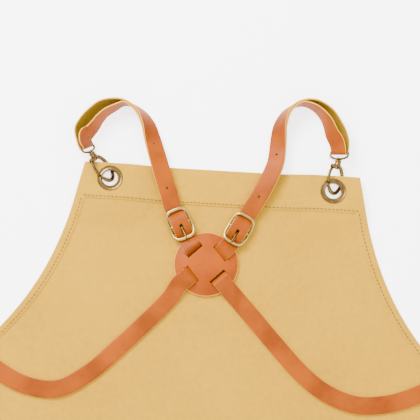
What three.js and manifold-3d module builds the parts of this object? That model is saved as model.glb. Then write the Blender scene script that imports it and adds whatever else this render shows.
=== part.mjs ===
// Butcher apron with a cross-back leather harness, lying face down.
// Millimetres, +Z up, +Y towards the bib. The origin is on the underside of the canvas,
// halfway down its length; the harness is set out from the middle of the bib's top edge.
import * as THREE from "three";
import { mergeVertices } from "three/addons/utils/BufferGeometryUtils.js";
import Module from "manifold-3d";

const wasm = await Module();
wasm.setup();

// ---- driving dimensions ----
const CLEARANCE = 0.3;

const panelLength = 820;
const bibWidth = 302;
const waistWidth = 680;
const waistDepth = 278;
const clothThickness = 1.2;
const hemThickness = 2.4;
const topHemWidth = 41;
const sideHemWidth = 12;
const bottomHemWidth = 25;
const hemStep = 0.5;

const grommetBore = 17;
const grommetFlange = 28;
const grommetWall = 0.8;
const bibGrommetInset = 29;
const bibGrommetDepth = 17.5;
const waistGrommetInset = 28;
const waistGrommetDepth = 286;
const cornerLift = 7;
const liftPlateau = 24;
const liftReach = 62;

const strapWidth = 19;
const strapThickness = 2;
const holeDiameter = 3;
const holePitch = 52;

const discDiameter = 70;
const discThickness = 2.2;
const discFlat = 12;
const discCentre = [-11.3, -105.6];
const slotRadius = 20.3;
const slotWidth = 6.2;

const buckleReach = 16.2;
const barRadius = 1.4;
const rivetCap = 0.8;
const tongueRadius = 1.1;

const ringLength = 36;
const ringWidth = 24;
const armWidth = 4.5;
const armThickness = 3.5;
const clawTilt = 38;
const ringHeight = 8.5;
const eyeWire = 2.5;
const eyeReach = 10;
const neckLength = 3;
const neckRadius = 4;
const shankRadius = 1.6;
const pinRadius = 0.8;
const gateThickness = 1.5;

// ---- sizes that follow from them ----
const topEdge = panelLength / 2;
const radians = THREE.MathUtils.degToRad;
const bibHalf = bibWidth / 2;
const waistHalf = waistWidth / 2;
const halfStrap = strapThickness / 2;
const ringA = (ringLength - armWidth) / 2;
const ringB = (ringWidth - armWidth) / 2;
const strapOnCloth = clothThickness + 2 * CLEARANCE + halfStrap;
const layerPitch = strapThickness + CLEARANCE;
const foldRadius = eyeWire / 2 + CLEARANCE + halfStrap;
const barFold = barRadius + CLEARANCE + halfStrap;
const returnHeight = clothThickness + 2 * CLEARANCE + rivetCap + halfStrap;
const barHeight = returnHeight + barFold;
const neckTop = ringA + armWidth / 2 + neckLength;
const eyeBar = neckTop + CLEARANCE + eyeReach;

const grommets = [
  { name: "bib_right", x: bibHalf - bibGrommetInset, y: -bibGrommetDepth },
  { name: "bib_left", x: bibGrommetInset - bibHalf, y: -bibGrommetDepth },
  { name: "waist_right", x: waistHalf - waistGrommetInset, y: -waistGrommetDepth },
  { name: "waist_left", x: waistGrommetInset - waistHalf, y: -waistGrommetDepth },
];

const materials = {
  canvas: new THREE.MeshStandardMaterial({ color: 0xe5c688, roughness: 0.9, metalness: 0 }),
  thread: new THREE.MeshStandardMaterial({ color: 0xeed9a6, roughness: 0.8, metalness: 0 }),
  leather: new THREE.MeshStandardMaterial({ color: 0xd98a48, roughness: 0.55, metalness: 0 }),
  brass: new THREE.MeshStandardMaterial({ color: 0x9a8250, roughness: 0.35, metalness: 1 }),
  steel: new THREE.MeshStandardMaterial({ color: 0xb0aca0, roughness: 0.3, metalness: 1 }),
};

const apron = new THREE.Group();
const harness = new THREE.Group();
harness.position.y = topEdge;
apron.add(harness);

function add(parent, name, geometry, material) {
  const mesh = new THREE.Mesh(geometry, material);
  mesh.name = name;
  parent.add(mesh);
  return mesh;
}

// ---- joins and cuts ----
function toManifold(geometry) {
  const bare = geometry.clone();
  bare.deleteAttribute("normal");
  bare.deleteAttribute("uv");
  const merged = mergeVertices(bare, 1e-4);
  return new wasm.Manifold(new wasm.Mesh({
    numProp: 3,
    vertProperties: new Float32Array(merged.attributes.position.array),
    triVerts: new Uint32Array(merged.index.array),
  }));
}

function toGeometry(solid) {
  const mesh = solid.getMesh();
  const geometry = new THREE.BufferGeometry();
  geometry.setAttribute("position", new THREE.BufferAttribute(mesh.vertProperties, 3));
  geometry.setIndex(new THREE.BufferAttribute(mesh.triVerts, 1));
  geometry.computeVertexNormals();
  return geometry;
}

function cut(geometry, tools) {
  let solid = toManifold(geometry);
  for (const tool of tools) {
    solid = solid.subtract(toManifold(tool));
  }
  return toGeometry(solid);
}

function join(geometries) {
  let solid = toManifold(geometries[0]);
  for (const other of geometries.slice(1)) {
    solid = solid.add(toManifold(other));
  }
  return toGeometry(solid);
}

// An upright cylinder from z0 to z1.
function rod(radius, z0, z1, x = 0, y = 0, sides = 20) {
  const geometry = new THREE.CylinderGeometry(radius, radius, z1 - z0, sides);
  return geometry.rotateX(Math.PI / 2).translate(x, y, (z0 + z1) / 2);
}

// A cylinder between two points.
function bar(radius, from, to, sides = 12) {
  const span = to.clone().sub(from);
  const geometry = new THREE.CylinderGeometry(radius, radius, span.length(), sides);
  const turn = new THREE.Quaternion().setFromUnitVectors(new THREE.Vector3(0, 1, 0), span.normalize());
  const middle = from.clone().add(to).multiplyScalar(0.5);
  return geometry.applyQuaternion(turn).translate(middle.x, middle.y, middle.z);
}

// A ring of rectangular section about the z axis.
function ring(inner, outer, z0, z1, sides = 32) {
  const profile = [[inner, z0], [outer, z0], [outer, z1], [inner, z1], [inner, z0]];
  const points = profile.map(([r, z]) => new THREE.Vector2(r, z));
  return new THREE.LatheGeometry(points, sides).rotateX(Math.PI / 2);
}

// ---- the canvas ----
// The armhole edge widens slowly from the bib and faster towards the waist.
function halfWidth(depth) {
  if (depth >= waistDepth) {
    return waistHalf;
  }
  const slope = 0.2;
  const flare = waistHalf - bibHalf - slope * waistDepth;
  return bibHalf + slope * depth + flare * (depth / waistDepth) ** 3;
}

// The hooks' lower arms raise the cloth round each grommet.
function clothLift(x, y) {
  let height = 0;
  for (const g of grommets) {
    const far = THREE.MathUtils.smoothstep(Math.hypot(x - g.x, y - g.y), liftPlateau, liftReach);
    height = Math.max(height, cornerLift * (1 - far));
  }
  return height;
}

function isHem(depth, fromSide) {
  return depth <= topHemWidth || depth >= panelLength - bottomHemWidth || fromSide <= sideHemWidth;
}

function clothAt(x, y) {
  const patched = grommets.some((g) => Math.hypot(x - g.x, y - g.y) < liftPlateau);
  const hemmed = isHem(-y, halfWidth(-y) - Math.abs(x));
  return hemmed || patched ? hemThickness : clothThickness;
}

function spread(from, to, step) {
  const count = Math.ceil((to - from) / step);
  return Array.from({ length: count + 1 }, (_, i) => from + ((to - from) * i) / count);
}

function canvasGeometry() {
  const rows = [
    0, ...spread(5, topHemWidth, 9),
    ...spread(topHemWidth + hemStep, 90, 10),
    ...spread(120, 230, 37),
    ...spread(237, waistDepth, 9),
    ...spread(waistDepth + 7, 350, 10),
    ...spread(390, panelLength - bottomHemWidth - hemStep, 90),
    panelLength - bottomHemWidth, panelLength,
  ];
  const shares = [...spread(0, 0.56, 0.14), ...spread(0.66, 1, 0.036)];
  const inner = [...shares.slice(1).map((u) => -u).reverse(), ...shares];
  const across = (depth) => {
    const edge = halfWidth(depth);
    const field = edge - sideHemWidth - hemStep;
    return [-edge, -(edge - sideHemWidth), ...inner.map((u) => u * field), edge - sideHemWidth, edge];
  };
  const columns = inner.length + 4;
  const position = [];
  for (const depth of rows) {
    for (const x of across(depth)) {
      const low = clothLift(x, -depth);
      position.push(x, -depth, low + clothAt(x, -depth), x, -depth, low);
    }
  }
  const index = [];
  const top = (r, c) => 2 * (r * columns + c);
  const quad = (a, b, c, d) => index.push(a, b, c, a, c, d);
  const last = rows.length - 1;
  for (let r = 0; r < last; r += 1) {
    for (let c = 0; c < columns - 1; c += 1) {
      quad(top(r, c), top(r + 1, c), top(r + 1, c + 1), top(r, c + 1));
      quad(top(r, c) + 1, top(r, c + 1) + 1, top(r + 1, c + 1) + 1, top(r + 1, c) + 1);
    }
    quad(top(r, 0), top(r, 0) + 1, top(r + 1, 0) + 1, top(r + 1, 0));
    const e = columns - 1;
    quad(top(r, e), top(r + 1, e), top(r + 1, e) + 1, top(r, e) + 1);
  }
  for (let c = 0; c < columns - 1; c += 1) {
    quad(top(0, c), top(0, c + 1), top(0, c + 1) + 1, top(0, c) + 1);
    quad(top(last, c), top(last, c) + 1, top(last, c + 1) + 1, top(last, c + 1));
  }
  const geometry = new THREE.BufferGeometry();
  geometry.setAttribute("position", new THREE.Float32BufferAttribute(position, 3));
  geometry.setIndex(index);
  const bore = grommetBore / 2 + grommetWall + CLEARANCE;
  return cut(geometry, grommets.map((g) => rod(bore, -1, cornerLift + 10, g.x, g.y, 32)));
}

add(harness, "canvas_panel", canvasGeometry(), materials.canvas);

// ---- bent strips: straps and rows of stitches ----
// A route is a list of points with the direction across the strip at each. The flat blank
// has its length along y; each vertex is carried to its place along the route.
function bendAlong(route, width, thickness, longestStep, cutBlank) {
  const centre = new THREE.CatmullRomCurve3(route.map((p) => p.at));
  const side = new THREE.CatmullRomCurve3(route.map((p) => p.across), false, "catmullrom", 0.5);
  const stations = [0];
  for (let i = 0; i < route.length - 1; i += 1) {
    const gap = route[i].at.distanceTo(route[i + 1].at);
    const steps = Math.max(1, Math.ceil(gap / longestStep));
    for (let k = 1; k <= steps; k += 1) {
      stations.push((i + k / steps) / (route.length - 1));
    }
  }
  const along = [0];
  for (let i = 1; i < stations.length; i += 1) {
    const gap = centre.getPoint(stations[i]).distanceTo(centre.getPoint(stations[i - 1]));
    along.push(along[i - 1] + gap);
  }
  const distanceTo = (i) => along[stations.indexOf(i / (route.length - 1))];
  const steps = stations.length - 1;
  let blank = new THREE.BoxGeometry(width, 1, thickness, 1, steps, 1);
  const flat = blank.attributes.position;
  // The cuts would merge stations that lie in one plane, so every second one stands proud.
  const proud = 0.02;
  for (let i = 0; i < flat.count; i += 1) {
    const station = Math.round((flat.getY(i) + 0.5) * steps);
    flat.setY(i, along[station]);
    flat.setZ(i, flat.getZ(i) + proud * (station % 2));
  }
  blank = cutBlank ? cutBlank(blank, distanceTo, along[steps]) : cut(blank, []);
  const placed = blank.attributes.position;
  for (let i = 0; i < placed.count; i += 1) {
    const s = placed.getY(i);
    let k = 1;
    while (k < steps && along[k] < s) {
      k += 1;
    }
    const share = (s - along[k - 1]) / (along[k] - along[k - 1]);
    const t = THREE.MathUtils.clamp(THREE.MathUtils.lerp(stations[k - 1], stations[k], share), 0, 1);
    const forward = centre.getTangent(t);
    const across = side.getPoint(t);
    across.addScaledVector(forward, -across.dot(forward)).normalize();
    const normal = across.clone().cross(forward);
    const point = centre.getPoint(t);
    point.addScaledVector(across, placed.getX(i)).addScaledVector(normal, placed.getZ(i));
    placed.setXYZ(i, point.x, point.y, point.z);
  }
  blank.computeVertexNormals();
  return blank;
}

// Points of a strip that lies on the table or cloth: x, y, height, and its twist in degrees
// from lying flat, grain up. The direction across follows the heading.
function lyingRoute(points) {
  return points.map(([x, y, z, twist = 0], i) => {
    const before = points[Math.max(i - 1, 0)];
    const after = points[Math.min(i + 1, points.length - 1)];
    const heading = Math.atan2(after[1] - before[1], after[0] - before[0]);
    const flat = Math.cos(radians(twist));
    const across = new THREE.Vector3(Math.sin(heading) * flat, -Math.cos(heading) * flat, Math.sin(radians(twist)));
    return { at: new THREE.Vector3(x, y, z), across };
  });
}

// ---- rows of stitches ----
const threadWidth = 0.8;
const threadThickness = 0.3;
const threadGap = 0.85;

function stitches(name, points) {
  const route = lyingRoute(points.map(([x, y]) => [
    x, y, clothLift(x, y) + hemThickness + threadGap + threadThickness / 2,
  ]));
  add(harness, name, bendAlong(route, threadWidth, threadThickness, 40), materials.thread);
}

const stitchInset = 8;
const topStitchDepth = topHemWidth - 3;
const bottomStitchDepth = panelLength - bottomHemWidth + 4;
const topRun = halfWidth(topStitchDepth) - stitchInset - 4;
const bottomRun = waistHalf - stitchInset - 4;
stitches("top_hem_thread", spread(-topRun, topRun, 12).map((x) => [x, -topStitchDepth]));
stitches("bottom_hem_thread", spread(-bottomRun, bottomRun, 40).map((x) => [x, -bottomStitchDepth]));
for (const [side, sign] of [["left", -1], ["right", 1]]) {
  const armhole = spread(topStitchDepth + 4, waistDepth - 4, 12);
  const straight = spread(waistDepth + 2, bottomStitchDepth, 30);
  stitches(`${side}_armhole_thread`, armhole.map((d) => [sign * (halfWidth(d) - stitchInset), -d]));
  stitches(`${side}_side_thread`, straight.map((d) => [sign * (waistHalf - stitchInset), -d]));
}

// ---- grommets: an eyelet through the cloth and a washer under it ----
const flangeThickness = 0.8;
for (const g of grommets) {
  const under = cornerLift - CLEARANCE;
  const over = cornerLift + hemThickness + CLEARANCE;
  const bore = grommetBore / 2;
  const barrel = bore + grommetWall;
  const flange = grommetFlange / 2;
  const profile = [
    [bore, under - flangeThickness], [barrel, under - flangeThickness], [barrel, over],
    [flange, over], [flange - 1, over + flangeThickness], [bore, over + flangeThickness],
    [bore, under - flangeThickness],
  ].map(([r, z]) => new THREE.Vector2(r, z));
  const eyelet = new THREE.LatheGeometry(profile, 32).rotateX(Math.PI / 2);
  add(harness, `${g.name}_eyelet`, eyelet, materials.brass).position.set(g.x, g.y, 0);
  const washer = ring(barrel + CLEARANCE, flange, under - flangeThickness, under);
  add(harness, `${g.name}_washer`, washer, materials.brass).position.set(g.x, g.y, 0);
}

// ---- swivel hooks ----
// Local frame: the claw's ring round the origin, the eye towards +y, the gate at -x.
// Ring angles are measured from the claw's bottom (0) over the gate side (90) to the neck (180).
const clawTip = 60;
const gateTip = 71;
const gateRoot = 126;
const pinAngle = 148;
const pinSleeve = 2.3;
const slotHalf = 1.55;
const cheekHalf = 2.7;

function onRing(angle, a = ringA, b = ringB) {
  return [-b * Math.sin(radians(angle)), -a * Math.cos(radians(angle))];
}

function plate(points, thickness, bevel, holes = []) {
  const shape = new THREE.Shape(points.map(([x, y]) => new THREE.Vector2(x, y)));
  shape.holes = holes.map((hole) => new THREE.Path(hole.map(([x, y]) => new THREE.Vector2(x, y))));
  const depth = thickness - 2 * bevel;
  const settings = {
    depth,
    bevelEnabled: bevel > 0,
    bevelThickness: bevel,
    bevelSize: bevel,
    bevelOffset: -bevel,
    bevelSegments: 1,
  };
  return new THREE.ExtrudeGeometry(shape, settings).translate(0, 0, -depth / 2);
}

function ringBand(from, to, width, thickness, bevel) {
  const steps = spread(from, to, 15);
  const outer = steps.map((t) => onRing(t, ringA + width / 2, ringB + width / 2));
  const inner = steps.map((t) => onRing(t, ringA - width / 2, ringB - width / 2)).reverse();
  return plate([...outer, ...inner], thickness, bevel);
}

const [pinX, pinY] = onRing(pinAngle);
const neckBottom = ringA - armWidth / 2 - 0.5;
const eyeBase = neckTop + CLEARANCE;
const headRadius = 2.4;
const headThickness = 1.5;

function clawGeometry() {
  const band = ringBand(-180, clawTip, armWidth, armThickness, 0.9);
  const neck = bar(neckRadius, new THREE.Vector3(0, neckBottom, 0), new THREE.Vector3(0, neckTop, 0), 20);
  const lug = rod(pinSleeve + 0.7, -cheekHalf, cheekHalf, pinX, pinY);
  const bore = bar(
    shankRadius + CLEARANCE, new THREE.Vector3(0, 0, 0), new THREE.Vector3(0, neckTop + 1, 0), 20,
  );
  const recess = rod(pinSleeve + 0.4, -slotHalf, slotHalf, pinX, pinY);
  const mouth = new THREE.BoxGeometry(6, 5, 2 * slotHalf).translate(pinX, pinY - 2.5, 0);
  const pinHole = rod(pinRadius + CLEARANCE, -cheekHalf - 1, cheekHalf + 1, pinX, pinY, 16);
  return cut(join([band, neck, lug]), [bore, recess, mouth, pinHole]);
}

function gateGeometry() {
  const top = 0.25;
  const low = top - gateThickness;
  const arm = ringBand(gateTip, gateRoot, armWidth - 0.9, armThickness - 0.9, 0.7);
  const [rootX, rootY] = onRing(gateRoot - 6);
  const link = new THREE.BoxGeometry(2.6, Math.hypot(rootX - pinX, rootY - pinY), gateThickness);
  link.rotateZ(Math.atan2(rootY - pinY, rootX - pinX) - Math.PI / 2);
  link.translate((rootX + pinX) / 2, (rootY + pinY) / 2, (top + low) / 2);
  const sleeve = rod(pinSleeve, low, top, pinX, pinY);
  const pinHole = rod(pinRadius + CLEARANCE, -3, 3, pinX, pinY, 16);
  return cut(join([arm, link, sleeve]), [pinHole]);
}

function eyeGeometry() {
  const inside = strapWidth / 2 + 0.5;
  const outside = inside + eyeWire;
  const top = eyeBar + eyeWire / 2;
  const outer = [
    [-3, eyeBase], [-outside + 2, eyeBase + 4], [-outside, eyeBase + 7], [-outside, top],
    [outside, top], [outside, eyeBase + 7], [outside - 2, eyeBase + 4], [3, eyeBase],
  ];
  const hole = [
    [-3, eyeBase + 2.8], [3, eyeBase + 2.8], [inside - 1.5, eyeBase + 5.2], [inside, eyeBase + 7],
    [inside, top - eyeWire], [-inside, top - eyeWire], [-inside, eyeBase + 7], [1.5 - inside, eyeBase + 5.2],
  ];
  const loop = plate(outer, eyeWire, 0.6, [hole]);
  const headTop = neckBottom - CLEARANCE;
  const shank = bar(
    shankRadius, new THREE.Vector3(0, headTop - 1, 0), new THREE.Vector3(0, eyeBase + 1.5, 0), 16,
  );
  const head = bar(
    headRadius, new THREE.Vector3(0, headTop - headThickness, 0), new THREE.Vector3(0, headTop, 0), 16,
  );
  return join([loop, shank, head]);
}

const hooks = {};

// aim: heading from the grommet to the eye; eyeTurn: the eye's turn on its shank;
// eyeHeight: the eye bar's middle above the table.
function addHook(g, aim, eyeTurn, eyeHeight) {
  const hook = new THREE.Group();
  const pitch = Math.asin((eyeHeight - ringHeight) / eyeBar);
  const out = new THREE.Vector3(Math.cos(radians(aim)), Math.sin(radians(aim)), 0);
  const hookOverhang = ringA - 2;
  hook.position.set(g.x + out.x * hookOverhang, g.y + out.y * hookOverhang, ringHeight);
  hook.rotation.set(pitch, 0, radians(aim - 90), "ZXY");
  harness.add(hook);
  const claw = new THREE.Group();
  claw.rotation.y = radians(clawTilt);
  hook.add(claw);
  add(claw, `${g.name}_claw`, clawGeometry(), materials.brass);
  add(claw, `${g.name}_gate`, gateGeometry(), materials.brass);
  const pin = rod(pinRadius, -cheekHalf, cheekHalf, pinX, pinY, 16);
  add(claw, `${g.name}_gate_pin`, pin, materials.steel);
  const spring = ring(pinRadius + CLEARANCE, pinSleeve - 0.4, 0.55, slotHalf - CLEARANCE, 20);
  add(claw, `${g.name}_gate_spring`, spring.translate(pinX, pinY, 0), materials.steel);
  const eye = new THREE.Group();
  eye.rotation.y = radians(eyeTurn);
  hook.add(eye);
  add(eye, `${g.name}_swivel_eye`, eyeGeometry(), materials.brass);
  harness.updateMatrixWorld(true);
  const world = eye.matrixWorld.clone().premultiply(harness.matrixWorld.clone().invert());
  hooks[g.name] = {
    eye,
    place: (x, y, z) => new THREE.Vector3(x, y, z).applyMatrix4(world),
    across: new THREE.Vector3(1, 0, 0).transformDirection(world),
  };
}

const [bibRight, bibLeft, waistRight, waistLeft] = grommets;
addHook(bibRight, 83, -37, 9.4);
addHook(bibLeft, 130, 50, 11.5);
addHook(waistRight, 58, 0, ringHeight);
addHook(waistLeft, 122, 0, ringHeight);

// ---- buckles ----
// Local frame: u along the strap towards the shoulder, v across it, on the centre bar's foot.
const lowerBarRise = 2.4;
const upperBarRise = 3;
const frameHalfWidth = strapWidth / 2 + 1.4;
const frameWall = 2;
const knuckleRadius = barRadius + CLEARANCE + 1.2;
const knuckleWidth = 2.4;
const returnRivetAt = 7.2;
const returnTail = 9.9;

// The frame is arched a little, so that its ends stand above its centre bar.
function frameRise(u) {
  const share = u / buckleReach;
  return (upperBarRise + lowerBarRise) / 2 * share * share + (upperBarRise - lowerBarRise) / 2 * share;
}

function oval(halfLength, halfBreadth, power, count) {
  return Array.from({ length: count }, (_, i) => {
    const c = Math.cos((2 * Math.PI * (i + 0.5)) / count);
    const s = Math.sin((2 * Math.PI * (i + 0.5)) / count);
    return [
      Math.sign(s) * halfBreadth * Math.abs(s) ** (2 / power),
      Math.sign(c) * halfLength * Math.abs(c) ** (2 / power),
    ];
  });
}

function frameGeometry() {
  const outer = oval(buckleReach + barRadius, frameHalfWidth + frameWall, 6, 48);
  const inner = oval(buckleReach - barRadius, frameHalfWidth, 8, 48);
  const frame = cut(plate(outer, 2 * barRadius, 0.8), [plate(inner, 4 * barRadius, 0)]);
  const flat = frame.attributes.position;
  for (let i = 0; i < flat.count; i += 1) {
    flat.setZ(i, flat.getZ(i) + frameRise(flat.getY(i)));
  }
  const reach = frameHalfWidth + frameWall / 2;
  const middle = bar(barRadius, new THREE.Vector3(-reach, 0, 0), new THREE.Vector3(reach, 0, 0));
  return join([frame, middle]).translate(0, 0, barHeight);
}

function tongueGeometry() {
  const knuckle = ring(barRadius + CLEARANCE, knuckleRadius, -knuckleWidth / 2, knuckleWidth / 2, 20);
  knuckle.rotateY(Math.PI / 2);
  const start = new THREE.Vector3(0, -1, knuckleRadius - 0.7);
  const rest = lowerBarRise + barRadius + CLEARANCE + tongueRadius;
  const end = new THREE.Vector3(0, -buckleReach - 2.5, rest + 0.5);
  return join([knuckle, bar(tongueRadius, start, end)]).translate(0, 0, barHeight);
}

// A rivet of two caps and a post, along z about the origin.
const rivetPost = 1.3;
const rivetHead = 2.3;
function rivetGeometry(half) {
  const profile = [
    [0, -half - rivetCap], [rivetHead, -half - rivetCap], [rivetHead, -half], [rivetPost, -half],
    [rivetPost, half], [rivetHead, half], [rivetHead - 0.6, half + rivetCap], [0, half + rivetCap],
  ].map(([r, z]) => new THREE.Vector2(r, z));
  return new THREE.LatheGeometry(profile, 20).rotateX(Math.PI / 2);
}
const rivetHalf = layerPitch / 2 + halfStrap + CLEARANCE;

function addBuckle(side, x, y, heading) {
  const group = new THREE.Group();
  group.position.set(x, y, 0);
  group.rotation.z = radians(heading - 90);
  harness.add(group);
  add(group, `${side}_buckle_frame`, frameGeometry(), materials.brass);
  add(group, `${side}_buckle_tongue`, tongueGeometry(), materials.brass);
  const rivet = add(group, `${side}_return_rivet`, rivetGeometry(rivetHalf), materials.brass);
  rivet.position.set(0, returnRivetAt, returnHeight + layerPitch / 2);
  const along = new THREE.Vector3(Math.cos(radians(heading)), Math.sin(radians(heading)), 0);
  const across = new THREE.Vector3(along.y, -along.x, 0);
  return {
    across,
    place: (u, z) => new THREE.Vector3(x, y, z).addScaledVector(along, u),
  };
}

// ---- the cross disc: a domed leather disc with four slots ----
const discCrown = clothThickness + 3 * CLEARANCE + 2 * layerPitch + CLEARANCE;
const discRim = clothThickness + 2 * CLEARANCE;
const risingAngle = 40.5;
const fallingAngle = 134.5;

function discUnderside(r) {
  const share = Math.max(0, r - discFlat) / (discDiameter / 2 - discFlat);
  return discCrown - (discCrown - discRim) * share * share;
}

function discGeometry() {
  const radius = discDiameter / 2;
  const radii = spread(0, radius, 6);
  const under = radii.map((r) => new THREE.Vector2(r, discUnderside(r)));
  const over = [...radii].reverse().map((r) => new THREE.Vector2(r, discUnderside(r) + discThickness));
  const dome = new THREE.LatheGeometry([...under, ...over], 36).rotateX(Math.PI / 2);
  const slots = [risingAngle, risingAngle + 180, fallingAngle, fallingAngle + 180].map((angle) => {
    const slot = new THREE.BoxGeometry(slotWidth, strapWidth + 2 * CLEARANCE + 0.6, 30);
    return slot.translate(slotRadius, 0, 0).rotateZ(radians(angle));
  });
  return cut(dome, slots).translate(discCentre[0], discCentre[1], 0);
}
add(harness, "cross_disc", discGeometry(), materials.leather);

// The strap's way under the disc, from one slot to the other: it comes down over the rim,
// passes under, and rises again towards its buckle.
function underDisc(angle, level) {
  const direction = [Math.cos(radians(angle)), Math.sin(radians(angle))];
  const rim = discDiameter / 2;
  const over = (r) => discUnderside(r) + discThickness + CLEARANCE + halfStrap + 0.3;
  const climb = [
    [discFlat, level], [16, level], [17.6, level + 0.3], [slotRadius, (level + over(22)) / 2],
    [23.6, over(22) + 0.1],
  ];
  const descent = [[29, over(28)], [rim + 1, over(rim - 0.6)]];
  const place = (sign, points) => points.map(([r, z]) => [
    discCentre[0] + sign * r * direction[0], discCentre[1] + sign * r * direction[1], z,
  ]);
  return [...place(-1, [...climb, ...descent]).reverse(), ...place(1, climb)];
}

// ---- harness straps ----
// Each runs from a waist hook, under the disc, through its buckle, over the shoulder arch and
// round the bib hook's eye, then back under itself to the buckle's centre bar.
const tailLength = 26;
const waistRivetAt = 13;

function foldRound(eye) {
  return spread(0, 180, 30).map((angle) => ({
    at: eye.place(
      0,
      eyeBar - foldRadius * Math.sin(radians(angle)),
      -foldRadius * Math.cos(radians(angle)),
    ),
    across: eye.across.clone(),
  }));
}

// The waist end: tail under the strap, round the eye's bar, and out on top.
function waistEnd(eye) {
  const layer = layerPitch / 2;
  const tail = [[tailLength, -layer], [waistRivetAt, -layer], [6, -foldRadius + 0.5]];
  const lead = [[6, foldRadius - 0.5], [waistRivetAt, layer], [tailLength, layer]];
  const toPoint = ([out, z]) => ({ at: eye.place(0, eyeBar + out, z), across: eye.across.clone() });
  return [...tail.map(toPoint), ...foldRound(eye), ...lead.map(toPoint)];
}

function backLayer(points) {
  return lyingRoute(points).map((p, i, all) => {
    const before = all[Math.max(i - 1, 0)].at;
    const after = all[Math.min(i + 1, all.length - 1)].at;
    const forward = after.clone().sub(before).normalize();
    const normal = p.across.clone().cross(forward).normalize();
    return { at: p.at.clone().addScaledVector(normal, -layerPitch), across: p.across };
  }).reverse();
}

// Over the centre bar, under both end bars.
function throughBuckle(buckle) {
  const lower = barHeight + lowerBarRise - barFold;
  const upper = barHeight + upperBarRise - barFold;
  const crest = barHeight + barFold + layerPitch + CLEARANCE;
  const heights = [
    [-buckleReach - 1, lower - 0.5], [2.5 - buckleReach, lower - 0.5], [-9.5, lower + 2.2],
    [-5, crest - 0.8], [0, crest], [6, crest - 0.2], [9.3, crest - 1.7],
    [buckleReach - 2.5, upper - 0.4], [buckleReach + 1, upper - 0.5], [24, upper + 0.7],
  ];
  return heights.map(([u, z]) => ({ at: buckle.place(u, z), across: buckle.across.clone() }));
}

// The return layer's end: under the bar, round it, and back over its own top.
function returnEnd(buckle) {
  const turn = spread(0, 180, 30).map((angle) => [
    -barFold * Math.sin(radians(angle)), barHeight - barFold * Math.cos(radians(angle)),
  ]);
  const places = [
    [24, returnHeight + 1.5], [14, returnHeight], [returnRivetAt, returnHeight], [4, returnHeight],
    ...turn,
    [2.7, barHeight + 1.5], [4.7, returnHeight + layerPitch + 0.3],
    [returnRivetAt, returnHeight + layerPitch],
    [returnTail, returnHeight + layerPitch],
  ];
  return places.map(([u, z]) => ({ at: buckle.place(u, z), across: buckle.across.clone() }));
}

function oblong(width, length, s) {
  return new THREE.BoxGeometry(width, length, 4 * strapThickness).translate(0, s, 0);
}

// Points given as x, y and twist get the height at which the strap rests on what is under
// them; extra raises a point, and a layer under it adds its own thickness.
const edgeMargin = 25;
function resting(points, layered) {
  return points.map(([x, y, twist = 0, extra = 0]) => {
    const inside = halfWidth(Math.max(0, -y)) - Math.abs(x);
    const onCloth = y < edgeMargin && inside > -edgeMargin;
    const onHem = -y < topHemWidth + edgeMargin || inside < sideHemWidth + edgeMargin;
    const hem = hemThickness + threadGap + threadThickness + 2 * CLEARANCE;
    const floor = onCloth ? clothLift(x, y) + (onHem ? hem : clothThickness) : 0;
    const flat = Math.cos(radians(twist));
    const tilt = Math.abs(Math.sin(radians(twist)));
    const below = layered ? layerPitch * Math.max(0, flat) : 0;
    const z = floor + 2 * CLEARANCE + halfStrap * Math.abs(flat) + (strapWidth / 2) * tilt + below + extra;
    return [x, y, z, twist];
  });
}

function addStrap(plan) {
  const start = waistEnd(hooks[plan.waistHook]);
  const low = lyingRoute([...resting(plan.waistRun, false), ...underDisc(plan.angle, plan.level)]);
  const buckle = throughBuckle(plan.buckle);
  const archPoints = resting(plan.arch, true);
  const arch = lyingRoute(archPoints);
  const eye = hooks[plan.bibHook];
  const fold = foldRound(eye);
  const firstBack = lyingRoute(resting(plan.backRun, false));
  const rest = backLayer(archPoints.slice(0, plan.sharedPoints));
  const end = returnEnd(plan.buckle);
  const route = [...start, ...low, ...buckle, ...arch, ...fold, ...firstBack, ...rest, ...end];
  const at = (parts) => parts.reduce((sum, part) => sum + part.length, 0);
  const crossing = at([start, low]) + 2;
  const barTurn = at([start, low, buckle, arch, fold, firstBack, rest]) + 7;
  const cutBlank = (blank, distanceTo) => {
    const tongueHole = distanceTo(crossing) + 2.4;
    const punched = [1, 2, 3].map((n) => rod(holeDiameter / 2, -5, 5, 0, tongueHole + n * holePitch, 12));
    const riveted = [1, start.length - 2, route.length - 2, route.length - 13]
      .map((i) => rod(rivetPost + CLEARANCE, -5, 5, 0, distanceTo(i), 12));
    return cut(blank, [
      oblong(2 * tongueRadius + 1.2, 9, tongueHole),
      oblong(knuckleWidth + 2 * CLEARANCE + 0.4, 17.5, distanceTo(barTurn)),
      ...punched, ...riveted,
    ]);
  };
  const waistEye = hooks[plan.waistHook].eye;
  const waistRivet = add(waistEye, `${plan.waistHook}_rivet`, rivetGeometry(rivetHalf), materials.brass);
  waistRivet.position.y = eyeBar + waistRivetAt;
  add(harness, plan.name, bendAlong(route, strapWidth, strapThickness, 7, cutBlank), materials.leather);
}

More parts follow.
